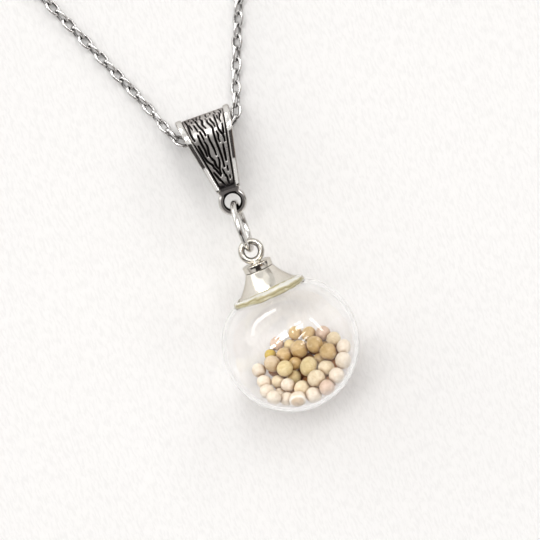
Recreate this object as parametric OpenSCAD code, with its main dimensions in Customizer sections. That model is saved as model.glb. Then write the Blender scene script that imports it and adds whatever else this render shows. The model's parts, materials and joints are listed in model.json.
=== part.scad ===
// Glass ball pendant on a cable chain, lying on a table.
// The ball points to -Y and the chain loop to +Y. All sizes are in millimetres.

/* [Ball] */
// Outside diameter of the blown glass ball
ball_d = 20; // [19:0.5:21]
// Thickness of the glass
ball_wall = 0.7; // [0.5:0.05:0.9]
// Diameter of the hole in the glass under the cap
mouth_d = 4.4; // [3.5:0.1:5.5]
// How far the glass round the mouth is flattened, at its middle
mouth_flat = 0.7; // [0.6:0.05:0.8]

/* [Seeds] */
// Size of the seeds, where 1 gives each its listed diameter
seed_size = 1; // [0.92:0.01:1.02]
// Clear distance kept between seeds, and between a seed and the glass
seed_gap = 0.16; // [0.14:0.01:0.2]
// Depth of the heap's top layer below the ball's centre
heap_depth = 4.9; // [4.7:0.1:5]
// Lean of the heap from straight down towards the free end
heap_lean = 52; // [50:1:54]
// Turn of the heap to the right
heap_turn = 5; // [3:1:7]

/* [Cap] */
// Diameter of the rim that sits on the ball
cap_rim_d = 9.1; // [8.8:0.1:9.4]
// Height of the rim above the glass
cap_rim_h = 0.2; // [0.15:0.05:0.3]
// Diameter of the collar above the bell
cap_collar_d = 4.3; // [4.2:0.1:4.6]
// Height of the collar
cap_collar_h = 1; // [0.8:0.1:1.2]
// Distance from the ball's centre to the top of the collar
cap_top = 12.85; // [12.7:0.05:13]
// Lean of the bell's outline from the cap's axis, just under the collar
cap_lean = 24; // [20:1:25]
// Thickness of the cap's metal
cap_wall = 0.5; // [0.4:0.05:0.6]
// Outside diameter of the eye on the cap
eye_d = 3.8; // [3.7:0.05:4]
// Wire diameter of the eye
eye_wire = 0.8; // [0.78:0.01:0.8]
// Downward slope of the cap's axis towards the chain
cap_droop = 3; // [2:0.5:4]
// Turn of the cap's axis to the left
cap_yaw = 2.5; // [0:0.5:3]

/* [Glue] */
// Outside diameter of the clear glue bead round the rim
glue_d = 11.6; // [11:0.1:12]
// Height of the glue bead where it meets the rim
glue_h = 0.34; // [0.25:0.01:0.4]

/* [Jump ring] */
// Outside diameter of the jump ring
ring_d = 8; // [7.9:0.05:8.2]
// Wire diameter of the jump ring
ring_wire = 0.88; // [0.8:0.02:0.88]
// Width of the split where the ring was closed
ring_split = 0.12; // [0.1:0.01:0.2]
// Sideways lean of the upright ring
ring_lean = 8; // [0:1:9]
// Distance that the ring's wire keeps from the edge of the cap's eye
eye_slack = 0.28; // [0.26:0.01:0.35]
// Distance that the ring's wire keeps from the edge of the bail's loop
loop_slack = 0.34; // [0.32:0.01:0.4]

/* [Bail] */
// Width across the bail's top end
bail_top_w = 8.5; // [8:0.1:9]
// Width across the bail's lower end
bail_low_w = 3.6; // [3.4:0.1:4]
// Distance from the loop's centre to the axis of the chain channel
bail_reach = 9.9; // [9.5:0.1:10.5]
// Drop of the channel's axis below the loop's centre
bail_drop = 2.6; // [2.5:0.05:2.7]
// Outside radius of the recessed panel round the channel
bail_r = 3; // [2.9:0.05:3.1]
// Thickness of the bail's metal in the recesses
bail_wall = 0.85; // [0.7:0.05:1]
// Height of the polished side rims above the recesses
rim_h = 0.45; // [0.4:0.05:0.5]
// Width of a side rim at the top end
rim_top_w = 0.95; // [0.8:0.05:1.1]
// Width of a side rim at the lower end
rim_low_w = 0.72; // [0.6:0.02:0.8]
// Height of the bark-like relief above the recesses
bark_h = 0.24; // [0.15:0.01:0.3]
// Outside diameter of the bail's loop
loop_d = 4.2; // [4.1:0.05:4.3]
// Diameter of the hole in the bail's loop
loop_hole_d = 2.4; // [2.4:0.02:2.5]
// Turn of the bail to the right
bail_yaw = 0.9; // [0:0.1:2]

/* [Chain] */
// Width of the chain over its links
chain_d = 1.55; // [1.4:0.05:1.6]

/* [Clasp] */
// Length of the clasp over both ends
clasp_l = 9.8; // [9.6:0.1:10]
// Width of the clasp's body
clasp_w = 4.6; // [4.2:0.1:5]
// Thickness of the clasp
clasp_t = 2; // [1.8:0.1:2.4]

/* [Hidden] */
FINE = 96;
MEDIUM = 48;
ball_r = ball_d / 2;
inner_r = ball_r - ball_wall;

// Where the ball, the eye, the jump ring and the bail's loop lie
ball_at = [0.6, -104.3, ball_r];
cap_axis = [-cos(cap_droop) * sin(cap_yaw), cos(cap_droop) * cos(cap_yaw), -sin(cap_droop)];
eye_reach = cap_top - 0.05 + eye_d / 2;
eye_at = ball_at + cap_axis * eye_reach;
ring_r = (ring_d - ring_wire) / 2;
eye_play = eye_d / 2 - eye_wire - ring_wire / 2 - eye_slack;
loop_play = (loop_hole_d - ring_wire) / 2 - loop_slack;
taut = 2 * ring_r + eye_play + loop_play;
loop_z = bail_r + rim_h + bail_drop;
link_fall = eye_at.z - loop_z;
loop_at = [eye_at.x, eye_at.y + sqrt(taut * taut - link_fall * link_fall), loop_z];
link_dir = (loop_at - eye_at) / taut;
ring_at = eye_at + link_dir * (eye_play + ring_r);
link_pitch = -atan2(link_fall, loop_at.y - eye_at.y);

// The route of the chain's right half: x, y and z, from the middle of the bail to the clasp
CHAIN_HALF = [
    [0, -72.7, 2.6], [1.8, -72.7, 2.6], [3.3, -72.5, 2.6], [4.5, -71.6, 2.4],
    [5.4, -69.8, 1.9], [6.3, -67.3, 1.35], [7.5, -64.3, 0.9], [10.2, -57.8, 0.8],
    [16, -44.2, 0.8], [25, -23.1, 0.8], [34, -2, 0.8], [43, 19.2, 0.8], [50, 36.2, 0.8],
    [53.7, 49, 0.8], [54.3, 62, 0.8], [51.4, 75.5, 0.8], [45.2, 88, 0.8],
    [35.5, 98.8, 0.8], [23.5, 106.8, 0.8], [12, 111, 0.8], [5.1, 112, 0.8]
];
CHAIN_SIDES = 8;
ring_step = 7.5;
clasp_at = [0, 112, clasp_t / 2 + 0.05];

// The recesses of the bark relief. Top and bottom are measured along the metal from
// the loop's centre, and a lane is a share of the panel's half width, from -1 to 1
BARK = [
    // top, bottom, lane at top, lane at bottom, sway, width
    [13.3, 10.2, -0.83, -0.85, 0.03, 0.28], [12.8, 11.8, -0.74, -0.69, 0, 0.18],
    [13.3, 12.9, -0.58, -0.57, 0.02, 0.2], [12.4, 11.3, -0.54, -0.48, 0, 0.24],
    [13.3, 12.6, -0.42, -0.36, 0.02, 0.24], [12.7, 10.4, -0.36, -0.19, -0.03, 0.27],
    [13.3, 11.4, -0.2, -0.04, 0.05, 0.29], [13.3, 12.8, 0.28, 0.08, 0.03, 0.18],
    [12.6, 10.7, 0.13, 0.28, -0.04, 0.29], [10.9, 5.3, 0.28, 0.33, -0.03, 0.32],
    [12.7, 11.2, 0.29, 0.42, -0.02, 0.27], [12.9, 11.6, 0.51, 0.55, 0, 0.24],
    [13.3, 13.1, 0.5, 0.53, 0.02, 0.2], [11.4, 8.8, 0.56, 0.78, -0.04, 0.3],
    [12.9, 12.2, 0.64, 0.66, 0, 0.2], [13.3, 11.6, 0.74, 0.78, 0.04, 0.22],
    [11.2, 9.9, 0.82, 0.8, 0, 0.27], [10.7, 7.5, -0.55, -0.59, -0.02, 0.31],
    [11.1, 9.9, -0.39, -0.36, 0, 0.27], [9.3, 7.2, -0.8, -0.8, 0, 0.34],
    [9.6, 6.7, -0.38, -0.37, 0.05, 0.31], [7, 5.3, -0.36, -0.2, 0.04, 0.33],
    [10.3, 7.3, -0.06, 0.01, -0.02, 0.29], [10.4, 8.9, 0.44, 0.48, 0.03, 0.27],
    [8.4, 6.1, 0.63, 0.6, 0, 0.33], [7.3, 5.5, -0.76, -0.52, -0.06, 0.36],
    [6, 4.2, -0.56, -0.24, 0, 0.31], [6.8, 4.4, 0.08, -0.14, 0.05, 0.29],
    [4.9, 3.5, -0.7, -0.48, 0, 0.32], [3.8, 2.6, -0.46, -0.18, 0, 0.27],
    [5, 3.9, 0.12, 0.2, 0, 0.25], [4.1, 2.7, 0.26, 0.36, 0.03, 0.27],
    [5.3, 4.6, 0.57, 0.57, 0, 0.22], [3.9, 3.4, 0.62, 0.6, 0, 0.2],
    [9.6, 2.6, -0.97, -0.9, 0, 0.26], [12.6, 2.8, 0.97, 0.93, 0, 0.22]
];

// The loose seeds as a viewer above them sees them: across and up from the ball's centre,
// diameter, and depth below the heap's top layer. The last fifteen lie underneath
SEEDS = [
    // across, up, diameter, depth
    [4.3, 1.7, 2.1, 0], [2.5, 1.6, 2.1, 0], [0.5, 1.3, 1.9, 0], [6.2, 0.8, 2, 0],
    [3.4, -0.2, 2.4, -0.2], [4.7, -0.4, 2, 1], [7.6, -0.5, 2.2, 0], [5.9, -1.4, 2.4, 0],
    [1.1, -1.1, 2.5, 0], [-0.4, 0, 1.9, 0.4], [-1.2, -1.5, 2.2, 0], [-2.2, 0, 1.9, 0],
    [-3.2, -1.4, 1.6, 0.3], [-3, -3.2, 2.4, 0], [-4.7, -4, 2, 0], [-4, -5.4, 2.1, 0],
    [-1, -3.9, 2.3, -0.3], [0.5, -3, 1.8, 0.6], [0.3, -4.6, 2.1, 1.2], [2.4, -3.1, 2.6, -0.2],
    [4.3, -2, 1.8, 0.9], [4.8, -3.5, 2.3, 0], [7.5, -2.9, 2.4, 0], [6.9, -5, 2.3, 0],
    [3.6, -5.2, 2.5, -0.2], [1.5, -6.2, 2.4, 0], [5.3, -6.6, 2.1, 0], [3.2, -7.6, 2.2, 0],
    [-0.7, -6.4, 1.9, 0.2], [-2.2, -5.2, 1.8, 0.2], [-3.1, -6.9, 2.1, 0], [-1.9, -7, 1.9, 0.5],
    [-0.5, -7.9, 2, 0], [1.1, -8.3, 2.3, 0], [-2.6, -8.2, 2, 0.4], [2, -2.6, 2.2, 2.3],
    [4.6, -4.6, 2.3, 2.3], [-0.6, -4.6, 2.1, 2.4], [2.2, -5.6, 2.2, 2.4], [6.2, -3, 2.1, 2],
    [3.2, -0.8, 2.1, 2.3], [0.2, -2.4, 2.1, 2.3], [1.3, -4.1, 2, 2.5], [4.2, -3, 1.9, 2.4],
    [-2.4, -4, 2, 2.1], [3.4, -6.3, 1.9, 2.3], [6, -5.4, 1.9, 1.9], [0.3, -6.6, 1.9, 2.3],
    [-1.9, -5.9, 1.7, 2.2], [6.9, -1.4, 1.8, 1.9]
];
seed_count = len(SEEDS);
// How far that view leans from straight down, from the chain's side, and its turn about its line
view_lean = 11;
view_turn = -20.5;

SEED_NODES = [for (i = [1:seed_count]) str("seed_", i < 10 ? "0" : "", i)];

function unit(v) = v / norm(v);

// The point where a line from p touches a circle round c, on the side given by 1 or -1
function tangent(p, c, r, side) =
    let (v = p - c, a = atan2(v.y, v.x) + side * acos(r / norm(v)))
    c + r * [cos(a), sin(a)];

module wire_ring(mean_r, wire_d) {
    rotate_extrude($fn = FINE) translate([mean_r, 0]) circle(d = wire_d, $fn = MEDIUM);
}

// Turns a shape that stands on the ball's centre onto the cap's axis
module on_cap_axis() {
    translate(ball_at) rotate([0, 0, cap_yaw]) rotate([-90 - cap_droop, 0, 0]) children();
}

// Round its mouth the glass follows a larger sphere, whose centre lies lower on the cap's axis
dome_r = 1.2 * ball_r;
dome_at = ball_r - mouth_flat - dome_r;

module dome(r, fine = FINE) {
    translate([0, 0, dome_at]) sphere(r = r, $fn = fine);
}

module glass_ball() {
    color("aliceblue", 0.35) on_cap_axis() difference() {
        intersection() {
            sphere(r = ball_r, $fn = FINE);
            dome(dome_r);
        }
        intersection() {
            sphere(r = inner_r, $fn = FINE);
            dome(dome_r - ball_wall);
        }
        cylinder(d = mouth_d, h = ball_d, $fn = MEDIUM);
    }
}

// The view's own directions: to its right, up, and towards the viewer
plan_up = [0, cos(view_lean), -sin(view_lean)];
seen_right = [1, 0, 0] * cos(view_turn) + plan_up * sin(view_turn);
seen_up = plan_up * cos(view_turn) - [1, 0, 0] * sin(view_turn);
to_viewer = [0, sin(view_lean), cos(view_lean)];
heap_dir = [
    sin(heap_turn), -sin(heap_lean) * cos(heap_turn), -cos(heap_lean) * cos(heap_turn)
];
seed_r = [for (s = SEEDS) s[2] / 2 * seed_size];
function reach(i) = inner_r - seed_r[i] - seed_gap;

// A seed starts on the viewer's line, at its depth in the heap and inside the glass
function start(i) =
    let (
        share = min(1, 0.999 * reach(i) / norm([SEEDS[i][0], SEEDS[i][1]])),
        across = SEEDS[i][0] * share, up = SEEDS[i][1] * share,
        flat = seen_right * across + seen_up * up,
        deep = (heap_depth + SEEDS[i][3] - heap_dir * flat) / (heap_dir * to_viewer),
        glass = sqrt(reach(i) * reach(i) - across * across - up * up)
    )
    flat + to_viewer * max(-glass, min(glass, deep));

// The push on seed i from every seed that is nearer than the gap allows
function push(p, i, k = 0, sum = [0, 0, 0]) =
    k >= seed_count ? sum :
    k == i ? push(p, i, k + 1, sum) :
    let (v = p[i] - p[k], d = norm(v), lack = seed_r[i] + seed_r[k] + seed_gap - d)
    push(p, i, k + 1, lack > 0 ? sum + v / d * lack * 0.5 : sum);

// A seed's centre, kept inside the glass
function inside(q, i) = norm(q) > reach(i) ? q * reach(i) / norm(q) : q;

// The seeds push each other apart until they lie still
function settle(p, steps) =
    steps == 0 ? p :
    settle([for (i = [0:seed_count - 1]) inside(p[i] + push(p, i), i)], steps - 1);

seed_at = settle([for (i = [0:seed_count - 1]) start(i)], 90);

module seed(i) {
    color(i % 3 == 0 ? "burlywood" : "wheat")
        translate(ball_at + seed_at[i]) sphere(r = seed_r[i], $fn = 32);
}

// The bell flares as a ring-shaped hollow, with a sharp rim on the glass
rim_r = cap_rim_d / 2;
neck_r = cap_collar_d / 2 - 0.05;
seat_r = dome_r + 0.08;
rim_at = dome_at + sqrt(seat_r * seat_r - rim_r * rim_r) + cap_rim_h;
bell_top = cap_top - cap_collar_h;
flare_h = bell_top - rim_at;
flare_chord = [rim_r - neck_r, flare_h];
flare_r = norm(flare_chord) / 2 / sin(atan2(flare_chord.x, flare_chord.y) - cap_lean);

module flare_hollow(extra) {
    translate([0, 0, bell_top + flare_r * sin(cap_lean)]) rotate_extrude($fn = FINE)
        translate([neck_r + flare_r * cos(cap_lean), 0]) circle(r = flare_r + extra, $fn = FINE);
}

module bell_cap() {
    foot = 7;
    color("lightgray") on_cap_axis() {
        difference() {
            translate([0, 0, foot]) cylinder(r = rim_r, h = bell_top - foot, $fn = FINE);
            flare_hollow(0);
            dome(seat_r);
            difference() {
                translate([0, 0, foot])
                    cylinder(r = rim_r - cap_wall, h = bell_top - cap_wall - foot, $fn = FINE);
                flare_hollow(cap_wall);
            }
        }
        translate([0, 0, bell_top - 0.05])
            cylinder(d = cap_collar_d, h = cap_collar_h + 0.05, $fn = FINE);
        translate([0, 0, cap_top - 0.1]) cylinder(d = eye_wire * 1.5, h = 0.5, $fn = MEDIUM);
        translate([0, 0, eye_reach]) rotate([90, 0, 0])
            wire_ring((eye_d - eye_wire) / 2, eye_wire);
    }
}

module glue_ring() {
    in_r = rim_r + 0.06;
    out_r = glue_d / 2;
    low = dome_at + sqrt(dome_r * dome_r - out_r * out_r);
    high = dome_at + sqrt(seat_r * seat_r - in_r * in_r) + glue_h;
    color("palegoldenrod", 0.7) on_cap_axis() difference() {
        rotate_extrude($fn = 2 * FINE) polygon([
            [in_r, low - 0.3], [in_r, high], [in_r * 0.6 + out_r * 0.4, high - 0.14],
            [out_r, low + 0.2], [out_r, low - 0.3]
        ]);
        dome(dome_r + 0.06, 2 * FINE);
    }
}

module jump_ring() {
    color("silver") translate(ring_at) rotate([0, -ring_lean, 0]) rotate([link_pitch, 0, 0])
        rotate([0, 90, 0]) difference() {
            wire_ring(ring_r, ring_wire);
            rotate([0, 0, 58]) translate([ring_r, 0, 0])
                cube([ring_wire * 2, ring_split, ring_wire * 2], center = true);
        }
}

// The bail is worked out round its loop, with Y along the metal and Z up from its face
NECK_Y = 1.7;
face_z = 0.55;
plan_low = 1.9;
plan_top = bail_reach + bail_r + rim_h + 0.2;
channel = [bail_reach, -bail_drop];

function half_width(y) =
    let (t = (y - plan_low) / (plan_top - plan_low))
    (bail_low_w + (bail_top_w - bail_low_w) * t) / 2;
function panel_half(y) =
    let (t = (y - plan_low) / (plan_top - plan_low))
    half_width(y) - rim_low_w - (rim_top_w - rim_low_w) * t;

module slab(width) {
    rotate([90, 0, 90]) linear_extrude(width, center = true) children();
}

module teardrop(r, grow) {
    translate(channel) circle(r = r, $fn = FINE);
    front = [NECK_Y, face_z + grow];
    back = [NECK_Y, -face_z - grow];
    polygon([front, tangent(front, channel, r, -1), channel, tangent(back, channel, r, 1), back]);
}

module cavity() {
    tip = [NECK_Y + 1.6, face_z - bail_wall];
    r = bail_r - bail_wall;
    translate(channel) circle(r = r, $fn = FINE);
    polygon([tip, tangent(tip, channel, r, -1), channel, tangent(tip, channel, r, 1)]);
}

module plan(low_half, top_half) {
    deep = bail_drop + bail_r + 2;
    translate([0, 0, -deep]) linear_extrude(deep + 2) polygon([
        [-low_half, plan_low], [low_half, plan_low], [top_half, plan_top], [-top_half, plan_top]
    ]);
}

module panel_plan() {
    plan(panel_half(plan_low), panel_half(plan_top));
}

// Where a length along the metal lies in the plan, as it bends round the channel
function along(t) = t < bail_reach ? t :
    bail_reach + bail_r * sin(min(90, (t - bail_reach) / bail_r * 180 / PI));

// A recess's middle line, at five points
function lane_line(row) = [for (k = [0:4])
    let (s = k / 4, y = along(row[0] + (row[1] - row[0]) * s),
        lane = row[2] + (row[3] - row[2]) * s + row[4] * sin(360 * s))
    [lane * panel_half(y), y]];

module recess(row) {
    line = lane_line(row);
    half = row[5] / 2;
    tip = [0, half];
    polygon(concat(
        [line[0] + tip], [for (k = [0:4]) line[k] + [half * (k % 4 == 0 ? 0.7 : 1), 0]],
        [line[4] - tip], [for (k = [4:-1:0]) line[k] - [half * (k % 4 == 0 ? 0.7 : 1), 0]]
    ));
}

module bark() {
    difference() {
        intersection() {
            slab(bail_top_w) teardrop(bail_r + bark_h, bark_h / 2);
            panel_plan();
            translate([-bail_top_w, 0, -bail_drop]) cube([2 * bail_top_w, 20, 5]);
        }
        for (row = BARK) translate([0, 0, -bail_drop - 1]) linear_extrude(6) recess(row);
        slab(bail_top_w * 2) cavity();
    }
}

module strap() {
    difference() {
        intersection() {
            slab(bail_top_w) teardrop(bail_r, 0);
            plan(half_width(plan_low), half_width(plan_top));
        }
        slab(bail_top_w * 2) cavity();
    }
}

module side_rims() {
    difference() {
        intersection() {
            slab(bail_top_w) teardrop(bail_r + rim_h, rim_h / 2);
            plan(half_width(plan_low), half_width(plan_top));
        }
        panel_plan();
        slab(bail_top_w * 2) cavity();
    }
}

module bail_loop() {
    wire = (loop_d - loop_hole_d) / 2;
    wire_ring((loop_d - wire) / 2, wire);
    neck_w = bail_low_w * 0.86;
    difference() {
        translate([-neck_w / 2, loop_hole_d / 2 + 0.1, -wire / 2])
            cube([neck_w, plan_low - loop_hole_d / 2, wire]);
        cylinder(d = loop_hole_d + 0.3, h = 4, center = true, $fn = FINE);
    }
}

module bail() {
    color("slategray") translate(loop_at) rotate([0, 0, -bail_yaw]) {
        strap();
        side_rims();
        bark();
        bail_loop();
    }
}

// The chain's whole route, from one end of the clasp to the other
half_count = len(CHAIN_HALF);
route = concat(
    [for (i = [half_count - 1:-1:1]) [-CHAIN_HALF[i].x, CHAIN_HALF[i].y, CHAIN_HALF[i].z]],
    CHAIN_HALF
);
last = len(route) - 1;

// The direction of the route at point i, weighted by the lengths on both sides
function heading(i) =
    i == 0 ? unit(route[1] - route[0]) :
    i == last ? unit(route[last] - route[last - 1]) :
    let (a = route[i] - route[i - 1], b = route[i + 1] - route[i])
    unit(a / norm(a) * norm(b) + b / norm(b) * norm(a));

// A smooth curve from point i to the next one, at s from 0 to 1
function between(i, s) =
    let (p = route[i], q = route[i + 1], d = norm(q - p), m = heading(i) * d,
        n = heading(i + 1) * d)
    p * (2 * s * s * s - 3 * s * s + 1) + m * (s * s * s - 2 * s * s + s)
    + q * (3 * s * s - 2 * s * s * s) + n * (s * s * s - s * s);

middles = concat(
    [for (i = [0:last - 1]) let (n = ceil(norm(route[i + 1] - route[i]) / ring_step))
        for (k = [0:n - 1]) between(i, k / n)],
    [route[last]]
);

function ring_points(i) =
    let (m = len(middles) - 1, ahead = middles[min(i + 1, m)] - middles[max(i - 1, 0)],
        side = unit(cross(ahead, [0, 0, 1])), up = unit(cross(side, ahead)))
    [for (k = [0:CHAIN_SIDES - 1])
        let (a = (k + 0.5) * 360 / CHAIN_SIDES)
        middles[i] + (side * cos(a) + up * sin(a)) * chain_d / 2];

module chain() {
    n = CHAIN_SIDES;
    m = len(middles) - 1;
    points = [for (i = [0:m]) each ring_points(i)];
    walls = [for (i = [0:m - 1]) for (k = [0:n - 1])
        [i * n + k, i * n + (k + 1) % n, (i + 1) * n + (k + 1) % n, (i + 1) * n + k]];
    ends = [[for (k = [n - 1:-1:0]) k], [for (k = [0:n - 1]) m * n + k]];
    color("silver") polyhedron(points = points, faces = concat(ends, walls), convexity = 10);
}

module clasp() {
    eye_r = 1.35;
    hole_r = 0.75;
    big_r = clasp_w / 2;
    big_x = -clasp_l / 2 + big_r;
    small_r = 1.3;
    small_x = clasp_l / 2 - eye_r - 2.2;
    eye_x = clasp_l / 2 - eye_r;
    big = [big_x, 0];
    small = [small_x, 0];
    slope = acos((big_r - small_r) / (small_x - big_x));
    color("silver") translate(clasp_at) difference() {
        union() {
            translate([0, 0, -clasp_t / 2]) linear_extrude(clasp_t) {
                translate(big) circle(r = big_r, $fn = MEDIUM);
                translate(small) circle(r = small_r, $fn = MEDIUM);
                polygon([
                    big + big_r * [cos(slope), sin(slope)], small + small_r * [cos(slope), sin(slope)],
                    small + small_r * [cos(slope), -sin(slope)], big + big_r * [cos(slope), -sin(slope)]
                ]);
                translate([small_x, -0.6]) square([eye_x - small_x - hole_r - 0.1, 1.2]);
            }
            translate([eye_x, 0, -0.6]) cylinder(r = eye_r, h = 1.2, $fn = MEDIUM);
        }
        translate([big_x, 0, 0]) cylinder(r = big_r - 1, h = 5, center = true, $fn = MEDIUM);
        translate([eye_x, 0, 0]) cylinder(r = hole_r, h = 5, center = true, $fn = MEDIUM);
    }
}

chain();
clasp();
bail();
jump_ring();
bell_cap();
glue_ring();
glass_ball();
for (i = [0:seed_count - 1]) {
    seed(i);
}
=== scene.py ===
"""The finished surfaces of a glass ball pendant on a cable chain, laid on a pale table.

Lengths are in metres, and MM is one millimetre. The ball points to -Y and the chain loop to +Y.
"""

import json
import math

import bmesh
import bpy
import numpy as np
from bpy.props import FloatProperty, FloatVectorProperty, IntProperty, PointerProperty
from mathutils import Matrix, Vector


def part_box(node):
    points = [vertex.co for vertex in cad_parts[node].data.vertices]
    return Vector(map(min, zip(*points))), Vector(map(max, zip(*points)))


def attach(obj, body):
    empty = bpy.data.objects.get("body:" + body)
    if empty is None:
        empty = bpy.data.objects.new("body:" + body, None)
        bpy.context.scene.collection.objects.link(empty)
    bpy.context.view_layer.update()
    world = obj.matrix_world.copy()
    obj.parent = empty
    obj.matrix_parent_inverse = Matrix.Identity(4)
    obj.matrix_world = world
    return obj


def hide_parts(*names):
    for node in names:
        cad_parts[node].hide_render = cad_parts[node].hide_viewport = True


bl_info = {
    "name": "Glass Ball Pendant",
    "version": (1, 0, 0),
    "blender": (4, 5, 0),
    "location": "View3D > Sidebar > Pendant",
    "description": "Builds a glass ball pendant with seeds on a fine cable chain",
    "category": "Add Mesh",
}

MM = 0.001
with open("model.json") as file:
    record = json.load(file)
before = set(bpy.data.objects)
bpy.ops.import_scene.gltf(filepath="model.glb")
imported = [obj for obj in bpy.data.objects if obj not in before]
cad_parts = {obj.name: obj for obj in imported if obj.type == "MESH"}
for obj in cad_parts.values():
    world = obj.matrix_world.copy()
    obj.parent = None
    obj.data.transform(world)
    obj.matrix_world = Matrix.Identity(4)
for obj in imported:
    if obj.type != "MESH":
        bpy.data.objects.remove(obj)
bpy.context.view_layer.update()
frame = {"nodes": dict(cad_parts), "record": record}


# Where the pieces lie

def node_middle(node):
    """The middle of a solid's box."""
    low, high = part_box(node)
    return (np.array(low) + np.array(high)) / 2


def turn(axis, degrees):
    """A rotation matrix about one axis."""
    return np.array(Matrix.Rotation(math.radians(degrees), 3, axis))


BALL_R = 10 * MM
BALL_AT = np.array([node_middle("glass_ball")[0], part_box("glass_ball")[0][1] + BALL_R, BALL_R])

# The cap's axis runs from the ball's middle towards +Y, turned about Z and drooping, in degrees
CAP_YAW = 2.5
CAP_DROOP = 3
CAP_TURN = turn("Z", CAP_YAW) @ turn("X", -90 - CAP_DROOP)

# The jump ring stands along the pendant and leans to one side. Its pitch turns it in its own plane,
# and its split lies at SPLIT_TURN round it, all in degrees
RING_AT = node_middle("jump_ring")
RING_LEAN = 8
RING_PITCH = -23.68
RING_TURN = turn("Y", -RING_LEAN) @ turn("X", RING_PITCH) @ turn("Y", 90)
SPLIT_TURN = 58

# The middle of the bail's loop, which the bail's own measures start from, and the bail's turn
LOOP_R = 2.1 * MM
LOOP_X, LOOP_Z = -0.04 * MM, 6.05 * MM
LOOP_AT = np.array([LOOP_X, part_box("bail")[0][1] + LOOP_R, LOOP_Z])
BAIL_YAW = -0.9
BAIL_TURN = turn("Z", BAIL_YAW)

CLASP_AT = node_middle("clasp")


# Sizes and colours that a user may change

def length_setting(name, description, millimetres):
    """A length, with its default in millimetres."""
    return FloatProperty(name=name, description=description, default=millimetres * MM,
                         unit="LENGTH", precision=5)


def colour_setting(name, description, colour):
    """A colour, with its default."""
    return FloatVectorProperty(name=name, description=description, default=colour, subtype="COLOR")


class BallSettings(bpy.types.PropertyGroup):
    wall: length_setting("Wall", "Thickness of the glass", 0.55)
    mouth: length_setting("Mouth", "Radius of the hole under the cap", 2.2)
    glue_colour: colour_setting("Glue", "Colour of the glue bead", (0.60, 0.55, 0.34))


class SeedSettings(bpy.types.PropertyGroup):
    swell: length_setting("Swell", "How much longer a seed's reach is than its solid's radius", 0.13)
    slide: length_setting("Slide", "How far the heap moves to the free end before it settles", 0.5)
    tan: colour_setting("Tan", "Colour of the darker seeds", (0.585, 0.41, 0.19))
    gold: colour_setting("Gold", "Colour of the yellowish seeds", (0.70, 0.57, 0.315))
    cream: colour_setting("Cream", "Colour of the cream seeds", (0.735, 0.62, 0.44))
    # The pale seeds lie near the glass: their paleness is partly their own colour, partly painted glare
    pale: colour_setting("Pale", "Colour of the palest seeds", (0.755, 0.66, 0.545))
    pink: colour_setting("Pink", "Colour of the pinkish seeds", (0.62, 0.46, 0.36))
    dun: colour_setting("Dun", "Colour of the greyish tan seed", (0.62, 0.485, 0.325))
    yellow: colour_setting("Yellow", "Colour of the one yellow seed", (0.53, 0.37, 0.045))
    # The seeds underneath are a darker brown, painted shade for the heap's gaps
    brown: colour_setting("Brown", "Colour of the seeds underneath", (0.32, 0.14, 0.045))


class BailSettings(bpy.types.PropertyGroup):
    rim_height: length_setting("Rim height", "Height of the polished side rims", 0.45)
    bark_height: length_setting("Bark height", "Height of the bark relief", 0.24)
    wall: length_setting("Wall", "Thickness of the metal in the recesses", 0.85)


class ChainSettings(bpy.types.PropertyGroup):
    link_length: length_setting("Link length", "Outside length of a link", 2.66)
    link_width: length_setting("Link width", "Outside width of a link", 1.82)
    wire: length_setting("Wire", "Thickness of a link's wire", 0.49)
    pitch: length_setting("Pitch", "Distance from one link to the next", 1.68)
    seed: IntProperty(name="Seed", description="Start of the random order", default=7)


class StageSettings(bpy.types.PropertyGroup):
    lens: FloatProperty(name="Lens", description="Focal length of the camera, in millimetres",
                        default=160.7)
    distance: FloatProperty(name="Distance", description="From the camera to its target",
                            default=0.35, unit="LENGTH")
    tilt: FloatProperty(name="Tilt", description="Lean of the camera from straight above",
                        default=math.radians(11), subtype="ANGLE")
    roll: FloatProperty(name="Roll", description="Turn of the camera about its view",
                        default=math.radians(-20.5), subtype="ANGLE")
    key: FloatProperty(name="Key", description="Brightness of the windows against the room",
                       default=6.0)
    sky: FloatProperty(name="Sky", description="Brightness of the pale room", default=0.93)
    paper: colour_setting("Table", "Colour of the table", (0.912, 0.907, 0.905))


# Meshes from arrays

def grid_faces(rows, columns, wrap_rows=False, wrap_columns=False):
    """Four-sided faces between the neighbouring points of a grid, which may close on itself."""
    row = np.arange(rows if wrap_rows else rows - 1)[:, None]
    column = np.arange(columns if wrap_columns else columns - 1)[None, :]
    next_row = (row + 1) % rows
    next_column = (column + 1) % columns
    corners = (row * columns + column, next_row * columns + column,
               next_row * columns + next_column, row * columns + next_column)
    return np.stack(corners, -1).reshape(-1, 4)


def signed_volume(points, faces):
    """A sixth of the sum of the triple products of each face's corners, positive if it faces out."""
    a, b, c, d = (points[faces[:, k]] for k in range(4))
    twice = np.einsum("ij,ij->i", a, np.cross(b, c)) + np.einsum("ij,ij->i", a, np.cross(c, d))
    return twice.sum() / 6


def facing_out(points, faces):
    """The faces, turned round if the shape is inside out."""
    return faces if signed_volume(points, faces) > 0 else faces[:, ::-1]


def joined(shapes):
    """Several (points, faces, values) shapes as one."""
    points, faces, values, count = [], [], [], 0
    for shape in shapes:
        points.append(shape[0])
        faces.append(facing_out(shape[0], shape[1]) + count)
        values.append(shape[2] if len(shape) > 2 else np.ones(len(shape[0])))
        count += len(shape[0])
    return np.concatenate(points), np.concatenate(faces), np.concatenate(values)


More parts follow.
